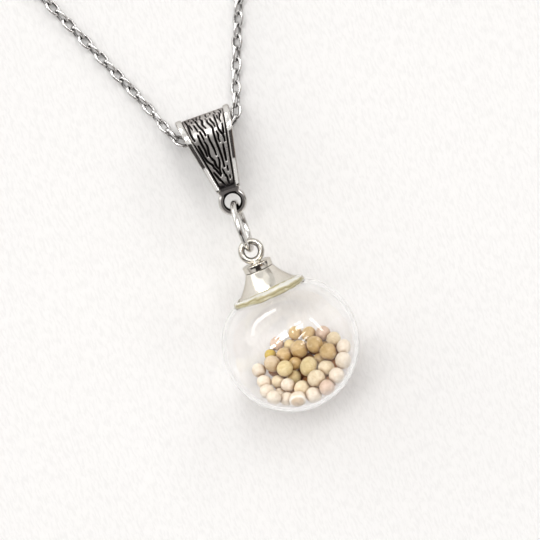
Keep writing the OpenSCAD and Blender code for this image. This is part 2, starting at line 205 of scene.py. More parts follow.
def make_piece(name, shapes, material, nodes):
    """One smooth mesh object from shapes in the row's frame, standing for the given nodes.

    A shape's values are one number for each point, its relief, or three, its tint. On some pieces
    both also hold painted shade.
    """
    points, faces, values = joined(shapes)
    mesh = bpy.data.meshes.new(name)
    mesh.from_pydata(points, [], faces)
    if values.ndim == 1:
        relief = mesh.attributes.new("relief", "FLOAT", "POINT")
        relief.data.foreach_set("value", values.astype(np.float32))
    else:
        tint = mesh.attributes.new("tint", "FLOAT_COLOR", "POINT")
        opaque = np.concatenate([values, np.ones((len(values), 1))], 1)
        tint.data.foreach_set("color", opaque.astype(np.float32).ravel())
    work = bmesh.new()
    work.from_mesh(mesh)
    bmesh.ops.remove_doubles(work, verts=work.verts, dist=0.0005 * MM)
    work.to_mesh(mesh)
    work.free()
    mesh.shade_smooth()
    mesh.materials.append(material)
    piece = bpy.data.objects.new(name, mesh)
    bpy.context.scene.collection.objects.link(piece)
    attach(piece, "root")
    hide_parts(*nodes)
    return piece


def full_turn(count):
    """Angles spread evenly round a circle, from 0."""
    return np.linspace(0, 2 * np.pi, count, endpoint=False)


def around(radius, angle, height):
    """Points by their distance from the Z axis, their angle about it and their height."""
    columns = np.broadcast_arrays(radius * np.cos(angle), radius * np.sin(angle), height)
    return np.stack(columns, -1)


def unit(vectors):
    """The vectors, each brought to a length of 1."""
    return vectors / np.linalg.norm(vectors, axis=1, keepdims=True)


def eased(share):
    """A share from 0 to 1, made to change slowly at both ends."""
    return share * share * (3 - 2 * share)


def rising(value, start, reach):
    """0 up to the start, then an even rise to 1 over the reach, and 1 past it."""
    return np.clip((value - start) / reach, 0, 1)


def superellipse(angle, squareness):
    """The cosine and sine of an angle, each raised to the power of 2 / squareness with its sign."""
    c, s = np.cos(angle), np.sin(angle)
    power = 2 / squareness
    return np.sign(c) * np.abs(c) ** power, np.sign(s) * np.abs(s) ** power


def torus(mean, wire, turns, sides):
    """A ring in the XY plane: a circle of the wire's radius carried round a circle."""
    u, v = full_turn(turns)[:, None], full_turn(sides)[None, :]
    points = around(mean + wire / 2 * np.cos(v), u, wire / 2 * np.sin(v))
    return points.reshape(-1, 3), grid_faces(turns, sides, True, True)


def revolved(radii, heights, turns):
    """A profile of radii and heights that starts and ends on the Z axis, turned about it."""
    points = around(np.asarray(radii)[:, None], full_turn(turns), np.asarray(heights)[:, None])
    return points.reshape(-1, 3), grid_faces(len(radii), turns, False, True)


def placed(shape, rotation, at):
    """A shape turned by a matrix, and then moved."""
    return (shape[0] @ np.asarray(rotation).T + at, *shape[1:])


# Materials

class NodeTree:
    """Short calls that add nodes. A value in them is another node's socket, a number or a colour."""

    def __init__(self, tree, output):
        self.tree = tree
        self.tree.nodes.clear()
        self.output = self.add(output)

    def add(self, kind, **settings):
        node = self.tree.nodes.new(kind)
        for key, value in settings.items():
            setattr(node, key, value)
        return node

    def link(self, source, target):
        self.tree.links.new(source, target)

    def feed(self, node, values):
        """Gives a node its values, from a dictionary of sockets' names or numbers."""
        for socket, value in values.items():
            if isinstance(value, (int, float)):
                node.inputs[socket].default_value = value
            elif isinstance(value, tuple):
                node.inputs[socket].default_value = (*value, 1)
            else:
                self.link(value, node.inputs[socket])

    def math(self, operation, a, b):
        node = self.add("ShaderNodeMath", operation=operation)
        self.feed(node, {0: a, 1: b})
        return node.outputs[0]

    def ramp(self, source, stops):
        """A colour or grey for each place along the source, from (place, colour) stops."""
        node = self.add("ShaderNodeValToRGB")
        elements = node.color_ramp.elements
        while len(elements) < len(stops):
            elements.new(0.5)
        for element, (at, colour) in zip(elements, stops):
            element.position = at
            grey = isinstance(colour, (int, float))
            element.color = (colour, colour, colour, 1) if grey else (*colour, 1)
        self.link(source, node.inputs["Fac"])
        return node.outputs["Color"]

    def mix(self, share, first, second, blend="MIX"):
        """Two colours mixed by a share."""
        node = self.add("ShaderNodeMix", data_type="RGBA", blend_type=blend)
        self.feed(node, {0: share, 6: first, 7: second})
        return node.outputs[2]


class Finish(NodeTree):
    """One material with a Principled surface, and short calls that add its patterns."""

    def __init__(self, name, **values):
        self.material = bpy.data.materials.new(name)
        self.material.use_nodes = True
        super().__init__(self.material.node_tree, "ShaderNodeOutputMaterial")
        self.surface = self.add("ShaderNodeBsdfPrincipled")
        self.link(self.surface.outputs["BSDF"], self.output.inputs["Surface"])
        self.place = self.add("ShaderNodeTexCoord").outputs["Object"]
        for socket, value in values.items():
            self.surface.inputs[socket.replace("_", " ")].default_value = value

    def noise(self, grain, detail, roughness=0.55, distortion=0.0, stretch=(1, 1, 1)):
        """A noise whose features are about grain metres wide."""
        mapping = self.add("ShaderNodeMapping")
        mapping.inputs["Scale"].default_value = stretch
        self.link(self.place, mapping.inputs["Vector"])
        node = self.add("ShaderNodeTexNoise")
        self.feed(node, {"Scale": 1 / grain, "Detail": detail, "Roughness": roughness,
                         "Distortion": distortion, "Vector": mapping.outputs["Vector"]})
        return node.outputs["Fac"]

    def attribute(self, name="relief", output="Fac"):
        return self.add("ShaderNodeAttribute", attribute_name=name).outputs[output]

    def drive(self, socket, source):
        self.link(source, self.surface.inputs[socket])

    def bump(self, height, depth, strength):
        """Makes the surface look uneven by a height from 0 to 1, at a depth in metres."""
        node = self.add("ShaderNodeBump")
        self.feed(node, {"Strength": strength, "Distance": depth, "Height": height})
        self.drive("Normal", node.outputs["Normal"])


def silver_finish(name, colour, dark, shine, edge=0.7):
    """Bright plated metal with faint wear: the colour and gloss vary a little over half millimetres.

    Crevices, of low relief, are darkened: painted shade.
    """
    finish = Finish(name, Metallic=1.0, Specular_Tint=(edge, edge * 0.97, edge * 0.93, 1))
    wear = finish.noise(0.6 * MM, 4)
    plate = finish.ramp(wear, [(0.3, dark), (0.62, colour)])
    # Painted shade: the colour darkens where the relief is low.
    painted_shade = finish.ramp(finish.attribute(), [(0.0, 0.05), (1.0, 1.0)])
    finish.drive("Base Color", finish.mix(1.0, plate, painted_shade, "MULTIPLY"))
    gloss = finish.ramp(finish.noise(0.25 * MM, 3), [(0.3, shine), (0.7, shine + 0.1)])
    finish.drive("Roughness", gloss)
    finish.bump(finish.noise(0.35 * MM, 3), 0.004 * MM, 0.6)
    return finish.material


def antique_finish():
    """Silver plate that is black in the recesses and polished on what stands proud."""
    finish = Finish("antique_silver", Metallic=1.0, Specular_Tint=(0.6, 0.58, 0.55, 1))
    relief = finish.attribute()
    spots = finish.noise(0.18 * MM, 3)
    speckle = finish.math("MULTIPLY", finish.math("SUBTRACT", spots, 0.5), 0.16)
    depth = finish.math("ADD", relief, speckle)
    colours = [(0.0, (0.008, 0.007, 0.007)), (0.30, (0.03, 0.027, 0.028)),
               (0.62, (0.35, 0.325, 0.315)), (0.93, (0.74, 0.725, 0.70))]
    finish.drive("Base Color", finish.ramp(depth, colours))
    gloss = finish.ramp(depth, [(0.1, 0.55), (0.6, 0.34), (0.86, 0.30), (0.95, 0.12)])
    finish.drive("Roughness", gloss)
    finish.bump(spots, 0.006 * MM, 0.4)
    return finish.material


# What a wall of the glass passes of the light straight through, and at its outline
GATHER = (1.062, 1.066, 1.072)
RIM_SHADE = (0.66, 0.65, 0.64)


def glass_finish():
    """Clear glass that lets the light of the room through, so that what it holds is lit.

    Each wall passes a little more light than it gets, for the light that a real ball gathers.
    """
    finish = Finish("ball_glass", Base_Color=(1.0, 1.0, 1.0, 1), Roughness=0.0, IOR=1.47,
                    Transmission_Weight=1.0, Sheen_Weight=0.5, Sheen_Roughness=0.25)
    path = finish.add("ShaderNodeLightPath")
    clear = finish.add("ShaderNodeBsdfTransparent")
    facing = finish.add("ShaderNodeLayerWeight").outputs["Facing"]
    rim = finish.ramp(facing, [(0.45, 0.0), (0.9, 1.0)])
    finish.link(finish.mix(rim, GATHER, RIM_SHADE), clear.inputs["Color"])
    mixed = finish.add("ShaderNodeMixShader")
    share = finish.math("MAXIMUM", path.outputs["Is Shadow Ray"], path.outputs["Is Diffuse Ray"])
    finish.feed(mixed, {0: share, 1: finish.surface.outputs["BSDF"], 2: clear.outputs["BSDF"]})
    finish.link(mixed.outputs[0], finish.output.inputs["Surface"])
    return finish.material


def glue_finish(colour):
    """Clear glue with a yellow tint: olive at its edges and where it is thick, pale between."""
    finish = Finish("clear_glue", Roughness=0.05, IOR=1.45, Transmission_Weight=0.45)
    cloud = finish.math("MULTIPLY", finish.math("SUBTRACT", finish.noise(1.6 * MM, 2), 0.5), 0.5)
    across = finish.math("ADD", finish.attribute(), cloud)
    olive = tuple(colour)
    pale = tuple(1 - (1 - c) * 0.16 for c in colour)
    brown = (olive[0] * 0.62, olive[1] * 0.56, olive[2] * 0.45)
    stops = [(0.0, olive), (0.10, olive), (0.18, pale), (0.52, pale), (0.64, olive), (0.78, brown),
             (0.85, olive), (0.94, olive), (1.0, pale)]
    finish.drive("Base Color", finish.ramp(across, stops))
    finish.bump(finish.noise(1.1 * MM, 2), 0.05 * MM, 0.6)
    return finish.material


def seed_finish(name):
    """A dry seed coat in each seed's tint with its painted shade, mottled, with a paler bloom in places.
    """
    finish = Finish(name, Roughness=0.5, Specular_IOR_Level=0.4)
    mottle = finish.ramp(finish.noise(0.6 * MM, 4, 0.6), [(0.3, (0.84, 0.79, 0.70)), (0.62, 1.0)])
    coat = finish.mix(1.0, finish.attribute("tint", "Color"), mottle, "MULTIPLY")
    bloom = finish.ramp(finish.noise(0.9 * MM, 3), [(0.55, 0.0), (0.75, 0.3)])
    finish.drive("Base Color", finish.mix(bloom, coat, (0.95, 0.88, 0.74)))
    finish.bump(finish.noise(0.12 * MM, 4, 0.65), 0.015 * MM, 0.5)
    return finish.material


def paper_finish(colour):
    """A pale matt table with a fine grain of short wrinkles along Y."""
    finish = Finish("pale_table", Roughness=0.85, Specular_IOR_Level=0.2)
    grain = finish.noise(0.34 * MM, 2, 0.6, 0.5, stretch=(1, 0.26, 1))
    soft = tuple(c * 0.945 for c in colour)
    finish.drive("Base Color", finish.ramp(grain, [(0.36, soft), (0.56, tuple(colour))]))
    finish.bump(grain, 0.03 * MM, 0.5)
    return finish.material


# Chain

# The chain's right half: x, y and z in millimetres, from the bail to the ring on the clasp
CHAIN_HALF = np.array([
    [0, -72.7, 2.6], [1.8, -72.7, 2.6], [3.3, -72.5, 2.6], [4.5, -71.6, 2.4],
    [5.4, -69.8, 1.9], [6.3, -67.3, 1.35], [7.5, -64.3, 0.9], [10.2, -57.8, 0.8],
    [16, -44.2, 0.8], [25, -23.1, 0.8], [34, -2, 0.8], [43, 19.2, 0.8], [50, 36.2, 0.8],
    [53.7, 49, 0.8], [54.3, 62, 0.8], [51.4, 75.5, 0.8], [45.2, 88, 0.8],
    [35.5, 98.8, 0.8], [23.5, 106.8, 0.8], [12, 111, 0.8], [8.6, 111.8, 0.92], [5.72, 112, 1.23],
])
# How many points the smooth route has for each stretch between two of these
STRETCH_POINTS = 60

# The ring at each end of the chain: its wire, its middle line, its distance from x = 0, and how far
# it leans from upright, in degrees
END_RING_WIRE = 0.5 * MM
END_RING_R = (2.9 * MM - END_RING_WIRE) / 2
END_RING_X = 5.0 * MM
END_RING_LEAN = 35

# How far the flatter links are turned about the chain from lying flat, and how much each link
# strays from that, in degrees
LINK_ROLL = 34
LINK_STRAY = 6
LINK_SQUARENESS = 2.35


def chain_route():
    """The whole route: the right half and its mirror image, as one smooth curve of many points.

    Between two route points the curve is the cubic that leaves and reaches them along their
    headings. A heading is the mean of the two chords' directions, each weighted by the other's
    length.
    """
    left = CHAIN_HALF[:0:-1] * [-1, 1, 1]
    route = np.concatenate([left, CHAIN_HALF]) * MM
    chord = np.diff(route, axis=0)
    length = np.linalg.norm(chord, axis=1, keepdims=True)
    step = chord / length
    between = step[:-1] * length[1:] + step[1:] * length[:-1]
    heading = unit(np.concatenate([step[:1], between, step[-1:]]))
    s = np.linspace(0, 1, STRETCH_POINTS, endpoint=False)[None, :, None]
    p, q = route[:-1, None], route[1:, None]
    m, n = (heading[:-1] * length)[:, None], (heading[1:] * length)[:, None]
    curve = (p * (2 * s**3 - 3 * s**2 + 1) + m * (s**3 - 2 * s**2 + s)
             + q * (3 * s**2 - 2 * s**3) + n * (s**3 - s**2))
    return np.concatenate([curve.reshape(-1, 3), route[-1:]])


def link_shape(length, width, wire, turns=24, sides=8):
    """One link in the XY plane: a circle of wire carried along a rounded oblong.

    Its relief, painted shade, is low along the inner side, most of all at the ends, where links touch.
    """
    u = full_turn(turns)
    c, s = superellipse(u, LINK_SQUARENESS)
    middle = np.stack([c * (length - wire) / 2, s * (width - wire) / 2, 0 * u], -1)
    ahead = unit(np.roll(middle, -1, 0) - np.roll(middle, 1, 0))
    side = np.stack([ahead[:, 1], -ahead[:, 0], 0 * u], -1)
    v = full_turn(sides)[None, :, None]
    section = np.cos(v) * side[:, None] + np.sin(v) * np.array([0, 0, 1])
    points = middle[:, None] + wire / 2 * section
    # Painted shade along the wire's inner side, strongest at the link's ends
    inner = np.clip(-np.cos(v[..., 0]), 0, 1) ** 0.7
    relief = 1 - inner * (0.72 + 0.28 * (c * c)[:, None])
    return points.reshape(-1, 3), grid_faces(turns, sides, True, True), relief.reshape(-1)


def chain_links(settings):
    """The links, evenly spaced along the route.

    A link's middle lies on the route, and it points from the route's place half a link back to the
    one half a link on. Every second link is turned by a right angle about that line.
    """
    curve = chain_route()
    along = np.concatenate([[0], np.cumsum(np.linalg.norm(np.diff(curve, axis=0), axis=1))])
    reach = (settings.link_length - settings.wire) / 2
    whole = along[-1] - 2 * reach
    count = round(whole / settings.pitch) + 1
    at = np.linspace(reach, along[-1] - reach, count)
    near, spot, far = (np.stack([np.interp(at + shift, along, curve[:, k]) for k in range(3)], -1)
                       for shift in (-reach, 0, reach))
    ahead = unit(far - near)
    side = unit(np.cross([0, 0, 1], ahead))
    rise = np.cross(ahead, side)
    chance = np.random.default_rng(settings.seed)
    roll = (np.pi / 2 * (np.arange(count) % 2) - math.radians(LINK_ROLL)
            + chance.normal(0, math.radians(LINK_STRAY), count))[:, None]
    across = side * np.cos(roll) + rise * np.sin(roll)
    up = np.cross(ahead, across)
    points, faces, relief = link_shape(settings.link_length, settings.link_width, settings.wire)
    faces = facing_out(points, faces)
    links = (spot[:, None] + points[None, :, :1] * ahead[:, None]
             + points[None, :, 1:2] * across[:, None] + points[None, :, 2:] * up[:, None])
    starts = np.arange(count)[:, None, None] * len(points)
    return links.reshape(-1, 3), (faces[None] + starts).reshape(-1, 4), np.tile(relief, count)


def end_ring(x):
    """A leaning ring that rests on the table beside the clasp."""
    ring_z = END_RING_R * math.cos(math.radians(END_RING_LEAN)) + END_RING_WIRE / 2
    ring = torus(END_RING_R, END_RING_WIRE, turns=48, sides=14)
    return placed(ring, turn("X", 90 - END_RING_LEAN), [x, CLASP_AT[1], ring_z])


class PENDANT_OT_chain(bpy.types.Operator):
    """Interlocked links along the whole route, with a ring at each end that holds the clasp"""
    bl_idname = "pendant.chain"
    bl_label = "Chain"

    def execute(self, context):
        shapes = [chain_links(context.scene.pendant_chain), end_ring(-END_RING_X), end_ring(END_RING_X)]
        steel = silver_finish("chain_steel", (0.84, 0.83, 0.825), (0.70, 0.69, 0.68), shine=0.16,
                              edge=0.3)
        make_piece("chain_links", shapes, steel, ["chain"])
        return {"FINISHED"}


# Clasp

def hook_shape():
    """The clasp's body: a rounded section carried round a hole.

    The outline is a big circle and a small one ahead of it, joined by the lines that touch both.
    Away from the small circle the hole grows wider and the metal thinner.
    """
    turns, sides, squareness = 96, 28, 2.7
    big, small, apart = 2.3 * MM, 1.2 * MM, 3.9 * MM
    hole, wider, thickness, thinner = 1.3, 0.2, 0.95, 0.45
    slope = math.acos((big - small) / apart)
    meet = math.atan2(small * math.sin(slope), apart + small * math.cos(slope))
    u = np.linspace(-np.pi, np.pi, turns, endpoint=False)
    size = np.abs(u)
    straight = big / np.cos(np.minimum(size, slope) - slope)
    nose = apart * np.cos(size) + np.sqrt(np.maximum(small**2 - (apart * np.sin(size))**2, 0))
    outer = np.where(size > slope, big, np.where(size > meet, straight, nose))
    tip = 0.5 - 0.5 * np.cos(u)
    inner = (hole + wider * tip) * MM
    half = (outer - inner) / 2
    thick = (thickness - thinner * tip) * MM
    c, s = superellipse(full_turn(sides), squareness)
    reach = ((outer + inner) / 2)[:, None] + half[:, None] * c[None]
    points = around(reach, u[:, None], thick[:, None] * s[None])
    return points.reshape(-1, 3), grid_faces(turns, sides, True, True)


# Where the hook, the clasp's eye and the neck between them lie along it, and the eye's own size
HOOK_X, CLASP_EYE_X, NECK_X = -2.6 * MM, 3.55 * MM, 1.6 * MM
CLASP_EYE_R, CLASP_EYE_WIRE = 1.1 * MM, 0.5 * MM


class PENDANT_OT_clasp(bpy.types.Operator):
    """The plain clasp: a rounded hook body with its hole, and a small eye on its neck"""
    bl_idname = "pendant.clasp"
    bl_label = "Clasp"

    def execute(self, context):
        neck_r = np.array([0, 0.55, 0.42, 0.42, 0.5, 0]) * MM
        neck_z = np.array([0, 0, 0.2, 0.9, 1.1, 1.1]) * MM
        eye = torus(CLASP_EYE_R, CLASP_EYE_WIRE, turns=48, sides=14)
        level = np.eye(3)
        shapes = [placed(hook_shape(), level, [HOOK_X, 0, 0]), placed(eye, level, [CLASP_EYE_X, 0, 0]),
                  placed(revolved(neck_r, neck_z, turns=24), turn("Y", 90), [NECK_X, 0, 0])]
        shapes = [placed(shape, level, CLASP_AT) for shape in shapes]
        steel = silver_finish("clasp_steel", (0.70, 0.695, 0.69), (0.55, 0.545, 0.54), shine=0.14)
        make_piece("clasp_body", shapes, steel, ["clasp"])
        return {"FINISHED"}


# Bail

# The strap's measures, in millimetres from the loop's centre: its two faces leave the loop FACE_Z
# above and below the middle, and run round a channel for the chain, given by its Y and Z
NECK_Y = 1.7
STRAP_START = 1.9
FACE_Z = 0.55
PLAN_TOP = 13.55
CHANNEL = np.array([9.9, -2.6])
CHANNEL_R = 3.0
INNER_START = NECK_Y + 1.6
LOW_WIDTH, TOP_WIDTH = 3.6, 8.5
LOW_RIM, TOP_RIM = 0.72, 0.95
# The rims' extra height at the loop, where along the metal it starts to grow, and over what length
RIM_LIFT, LIFT_START, LIFT_REACH = 0.32, 6.1, 3.7
# Where along the metal the bark starts, where its recesses start to fill and by what share, and
# where the plain back starts, with its height as a share of the bark's
BARK_START = 2.3
FILL_START, FILL_SHARE = 10.2, 0.34
BACK_START, BACK_HEIGHT = 14.2, 0.75
# The relief, from 0 for black to 1 for polished, of the metal's sides and of its inner face, and of
# the panel next to the loop
PLAIN_RELIEF = 0.62
END_RELIEF = 0.36

# The recesses of the bark relief. Top and bottom are measured along the metal from the loop's
# centre, in millimetres, and a lane is a share of the panel's half width, from -1 to 1
BARK = [
    # top, bottom, lane at top, lane at bottom, sway, width
    [14.6, 13.2, -0.86, -0.84, 0, 0.17], [14.6, 13.5, -0.64, -0.68, 0.02, 0.15],
    [14.5, 13.3, -0.5, -0.46, -0.02, 0.17], [14.6, 13.2, -0.3, -0.3, 0.02, 0.16],
    [14.6, 13.4, -0.1, -0.14, 0, 0.17], [14.4, 13.2, 0.1, 0.16, 0.02, 0.18],
    [14.6, 13.5, 0.3, 0.36, -0.02, 0.16], [14.5, 13.3, 0.5, 0.62, 0.02, 0.17],
    [14.6, 13.0, 0.78, 0.86, -0.02, 0.17],
    [13.3, 10.2, -0.83, -0.85, 0.03, 0.28], [12.8, 11.8, -0.74, -0.69, 0, 0.18],
    [13.3, 12.9, -0.58, -0.57, 0.02, 0.2], [12.4, 11.3, -0.54, -0.48, 0, 0.24],
    [13.3, 12.6, -0.42, -0.36, 0.02, 0.24], [12.7, 10.4, -0.36, -0.19, -0.03, 0.27],
    [13.3, 11.4, -0.2, -0.04, 0.05, 0.29], [13.3, 12.8, 0.28, 0.08, 0.03, 0.18],
    [12.6, 10.7, 0.13, 0.28, -0.04, 0.29], [10.9, 5.3, 0.28, 0.33, -0.03, 0.32],
    [12.7, 11.2, 0.29, 0.42, -0.02, 0.27], [12.9, 11.6, 0.51, 0.55, 0, 0.24],
    [13.3, 13.1, 0.5, 0.53, 0.02, 0.2], [11.4, 8.8, 0.56, 0.78, -0.04, 0.3],
    [12.9, 12.2, 0.64, 0.66, 0, 0.2], [13.3, 11.6, 0.74, 0.78, 0.04, 0.22],
    [11.2, 9.9, 0.82, 0.8, 0, 0.27], [10.7, 7.5, -0.55, -0.59, -0.02, 0.31],
    [11.1, 9.9, -0.39, -0.36, 0, 0.27], [9.3, 7.2, -0.8, -0.8, 0, 0.34],
    [9.6, 6.7, -0.38, -0.37, 0.05, 0.31], [7, 5.3, -0.36, -0.2, 0.04, 0.33],
    [10.3, 7.3, -0.06, 0.01, -0.02, 0.29], [10.4, 8.9, 0.44, 0.48, 0.03, 0.27],
    [8.4, 6.1, 0.63, 0.6, 0, 0.33], [7.3, 5.5, -0.76, -0.52, -0.06, 0.36],
    [6, 4.2, -0.56, -0.24, 0, 0.31], [6.8, 4.4, 0.08, -0.14, 0.05, 0.29],
    [4.9, 3.5, -0.7, -0.48, 0, 0.32], [3.8, 2.6, -0.46, -0.18, 0, 0.27],
    [5, 3.9, 0.12, 0.2, 0, 0.25], [4.1, 2.7, 0.26, 0.36, 0.03, 0.27],
    [5.3, 4.6, 0.57, 0.57, 0, 0.22], [3.9, 3.4, 0.62, 0.6, 0, 0.2],
    [9.6, 2.6, -0.97, -0.9, 0, 0.26], [12.6, 2.8, 0.97, 0.93, 0, 0.22],
]


def along_bail(y, low, high):
    """A width that grows evenly from the loop's end to the top."""
    return low + (high - low) * (y - STRAP_START) / (PLAN_TOP - STRAP_START)


def half_width(y):
    return along_bail(y, LOW_WIDTH, TOP_WIDTH) / 2


def rim_width(y):
    return along_bail(y, LOW_RIM, TOP_RIM)


def touch_angle(point, radius, side):
    """Where a line from a point touches the channel's circle, as an angle in degrees."""
    v = np.array(point) - CHANNEL
    return math.degrees(math.atan2(v[1], v[0]) + side * math.acos(radius / np.linalg.norm(v)))


def wrap(start_front, start_back, radius, shares):
    """Points round the channel in the YZ plane, with their outward normals.

    A share from 0 to 1 runs along the front line to the circle, 1 to 2 round the circle over the
    top and under, and 2 to 3 along the back line.
    """
    first = touch_angle(start_front, radius, -1)
    last = touch_angle(start_back, radius, 1) - 360
    angle = np.radians(first + (last - first) * np.clip(shares - 1, 0, 1))
    normal = np.stack([np.cos(angle), np.sin(angle)], -1)
    points = CHANNEL + radius * normal
    front = np.clip(1 - shares, 0, 1)[:, None]
    back = np.clip(shares - 2, 0, 1)[:, None]
    points = points + (np.array(start_front) - points) * front
    return points + (np.array(start_back) - points) * back, normal


def bark_height(t, x, panel):
    """How far the relief stands, from 0 in a recess to 1.

    It falls to 0 within half a recess's width of its middle line, which runs straight from lane
    to lane and sways by one sine wave. Both ends of a recess are round.
    """
    height = np.ones(np.broadcast(t, x).shape)
    for top, bottom, lane_top, lane_bottom, sway, width in BARK:
        share = np.clip((top - t) / (top - bottom), 0, 1)
        lane = lane_top + (lane_bottom - lane_top) * share + sway * np.sin(2 * np.pi * share)
        past = np.maximum(np.maximum(t - top, bottom - t), 0)
        taper = 0.65 + 0.35 * np.sin(np.pi * np.clip(share, 0.08, 0.92))
        away = np.hypot(x - lane * panel, past) - width / 2 * taper
        height = np.minimum(height, eased(rising(away, -0.05, 0.13)))
    return height


def panel_relief(t, p, panel):
    """The height of the panel between the rims and its polish, both from 0 to 1.

    The bark fades at the rims, at the loop and over the top, where the back is plain. The polish
    is least in the recesses, which are half filled towards the top.
    """
    bark = bark_height(t, p * panel, panel)
    bark = bark + (BACK_HEIGHT - bark) * rising(t, BACK_START, 0.5)
    near_rim, near_end = rising((1 - np.abs(p)) * panel, 0, 0.16), rising(t, BARK_START, 0.9)
    bark = bark * near_rim * near_end
    # The polish stays below the rims', falls towards the top, and falls towards -X as painted shade
    polish_and_shade = 0.86 - 0.12 * rising(t, 11.8, 1.2) - 0.14 * rising(-p, -0.1, 0.6)
    filled = FILL_SHARE * rising(t, FILL_START, 1.4) * near_rim * near_end
    polish = (filled + (1 - filled) * bark) * polish_and_shade
    return bark, np.maximum(polish, END_RELIEF * (1 - near_end))


def strap_shape(settings):
    """The bail's strap as one closed wall round the channel.

    Rows run round the channel and columns round the wall's section: over the left rim, the panel
    and the right rim, down the side, back along the inner face and up the other side. The rims
    are round on top and stand higher towards the loop.
    """
    rim_h, bark_h, wall = (value / MM for value in (settings.rim_height, settings.bark_height,
                                                    settings.wall))
    shares = np.concatenate([
        np.linspace(0, 1, 150, endpoint=False), np.linspace(1, 1.5, 74, endpoint=False),
        np.linspace(1.5, 2, 26, endpoint=False), np.linspace(2, 3, 30),
    ])
    front, back = [NECK_Y, FACE_Z], [NECK_Y, -FACE_Z]
    outer, normal = wrap(front, back, CHANNEL_R, shares)
    tip = [INNER_START, FACE_Z - wall]
    inner, _ = wrap(tip, tip, CHANNEL_R - wall, shares)
    outer[:, 0] = np.maximum(outer[:, 0], STRAP_START)
    bend = np.radians(90) - np.arctan2(normal[:, 1], normal[:, 0])
    t = np.where(shares < 1, outer[:, 0], CHANNEL[0] + CHANNEL_R * bend)[:, None]
    y = outer[:, :1]
    half, rim = half_width(y), rim_width(y)
    panel = half - rim

    q = 0.5 - 0.5 * np.cos(np.linspace(0, np.pi, 15))[None, :]
    p = np.linspace(-1, 1, 124)[None, 1:-1]
    crest = (1 - np.abs(2 * q - 1) ** 6) ** (1 / 2.6)
    ends = np.sqrt(1 - (1 - rising(y, STRAP_START, 0.4)) ** 2)
    lift = RIM_LIFT * rising(-t, -LIFT_START, LIFT_REACH) ** 1.2
    rim_rise = crest * (rim_h + lift) * ends
    bark, polish = panel_relief(t, p, panel)

    sides = np.array([1 / 3, 2 / 3])[None, :]
    rows = len(shares)
    outer_x = np.concatenate([-(panel + rim * q)[:, ::-1], p * panel, panel + rim * q], 1)
    rise = np.concatenate([rim_rise[:, ::-1], bark * bark_h * ends, rim_rise], 1)
    rim_polish = np.repeat(0.7 + 0.3 * crest, rows, 0)
    relief = np.concatenate([rim_polish[:, ::-1], polish, rim_polish], 1)
    top = np.stack([outer_x, y + normal[:, :1] * rise, outer[:, 1:] + normal[:, 1:] * rise], -1)
    inner_half = half_width(inner[:, :1])
    inner_x = inner_half * np.array([1, 0.5, 0, -0.5, -1])[None, :]
    under = np.stack([inner_x, inner[:, :1] + 0 * inner_x, inner[:, 1:] + 0 * inner_x], -1)
    down = top[:, -1:] + (under[:, :1] - top[:, -1:]) * sides[..., None]
    up = under[:, -1:] + (top[:, :1] - under[:, -1:]) * sides[..., None]
    points = np.concatenate([top, down, under, up], 1) * MM
    plain = np.full((rows, points.shape[1] - relief.shape[1]), PLAIN_RELIEF)
    values = np.concatenate([relief, plain], 1)
    faces = grid_faces(rows, points.shape[1], True, True)
    return points.reshape(-1, 3), faces, values.reshape(-1)


# The upper half of the loop's section: share of the way from the hole to the edge, share of the
# thickness, and relief. It has a black lip at the hole, painted shade, a dark flat and a polished bevel
LOOP_SECTION = [
    (0.0, 0.3, 0.0), (0.0, 0.62, 0.0), (0.02, 0.8, 0.0), (0.06, 0.92, 0.0), (0.12, 0.97, 0.0),
    (0.2, 0.98, 0.0), (0.24, 1.0, 0.3), (0.27, 1.0, 0.6), (0.50, 1.0, 0.6), (0.59, 1.0, 0.6),
    (0.61, 0.99, 0.7), (0.64, 0.95, 0.96), (0.69, 0.89, 0.96), (0.85, 0.62, 0.96),
    (0.92, 0.46, 0.96), (0.97, 0.28, 0.8), (1.0, 0.12, 0.7),
]


def loop_shape():
    """The bail's loop and its shoulders: a bevelled section carried round the hole.

    The outline is a circle, drawn out to the strap's width where it meets the strap.
    """
    turns = 144
    hole, outside, thick = 1.2, LOOP_R / MM, 0.45
    shoulder_x, shoulder_y = 1.55, 2.45
    u = full_turn(turns)
    sine = np.maximum(np.sin(u), 0.2)
    square = np.minimum(shoulder_y / sine, shoulder_x / np.maximum(np.abs(np.cos(u)), 0.05))
    outer = np.where(np.sin(u) > 0.3, np.maximum(square, outside), outside)
    half = np.array(LOOP_SECTION)
    section = np.concatenate([half, half[::-1] * [1, -1, 1]])[None]
    reach = hole + (outer - hole)[:, None] * section[..., 0]
    points = around(reach, u[:, None], thick * section[..., 1]) * MM
    round_part = np.clip((outside * 1.12 - outer) / (outside * 0.1), 0, 1)[:, None]
    relief = section[..., 2]
    values = np.where(relief > 0.5, 0.5 + (relief - 0.5) * round_part, relief)
    return points.reshape(-1, 3), grid_faces(turns, section.shape[1], True, True), values.reshape(-1)


class PENDANT_OT_bail(bpy.types.Operator):
    """The cast bail: a tapered strap round the chain, raised rims, bark relief and its loop"""
    bl_idname = "pendant.bail"
    bl_label = "Bail"

    def execute(self, context):
        shapes = [placed(shape, BAIL_TURN, LOOP_AT)
                  for shape in (strap_shape(context.scene.pendant_bail), loop_shape())]
        make_piece("bail_casting", shapes, antique_finish(), ["bail"])
        return {"FINISHED"}


# Jump ring

# Its middle line, its wire and the gap where it was closed
RING_R, RING_WIRE, RING_GAP = 3.56 * MM, 0.88 * MM, 0.12 * MM


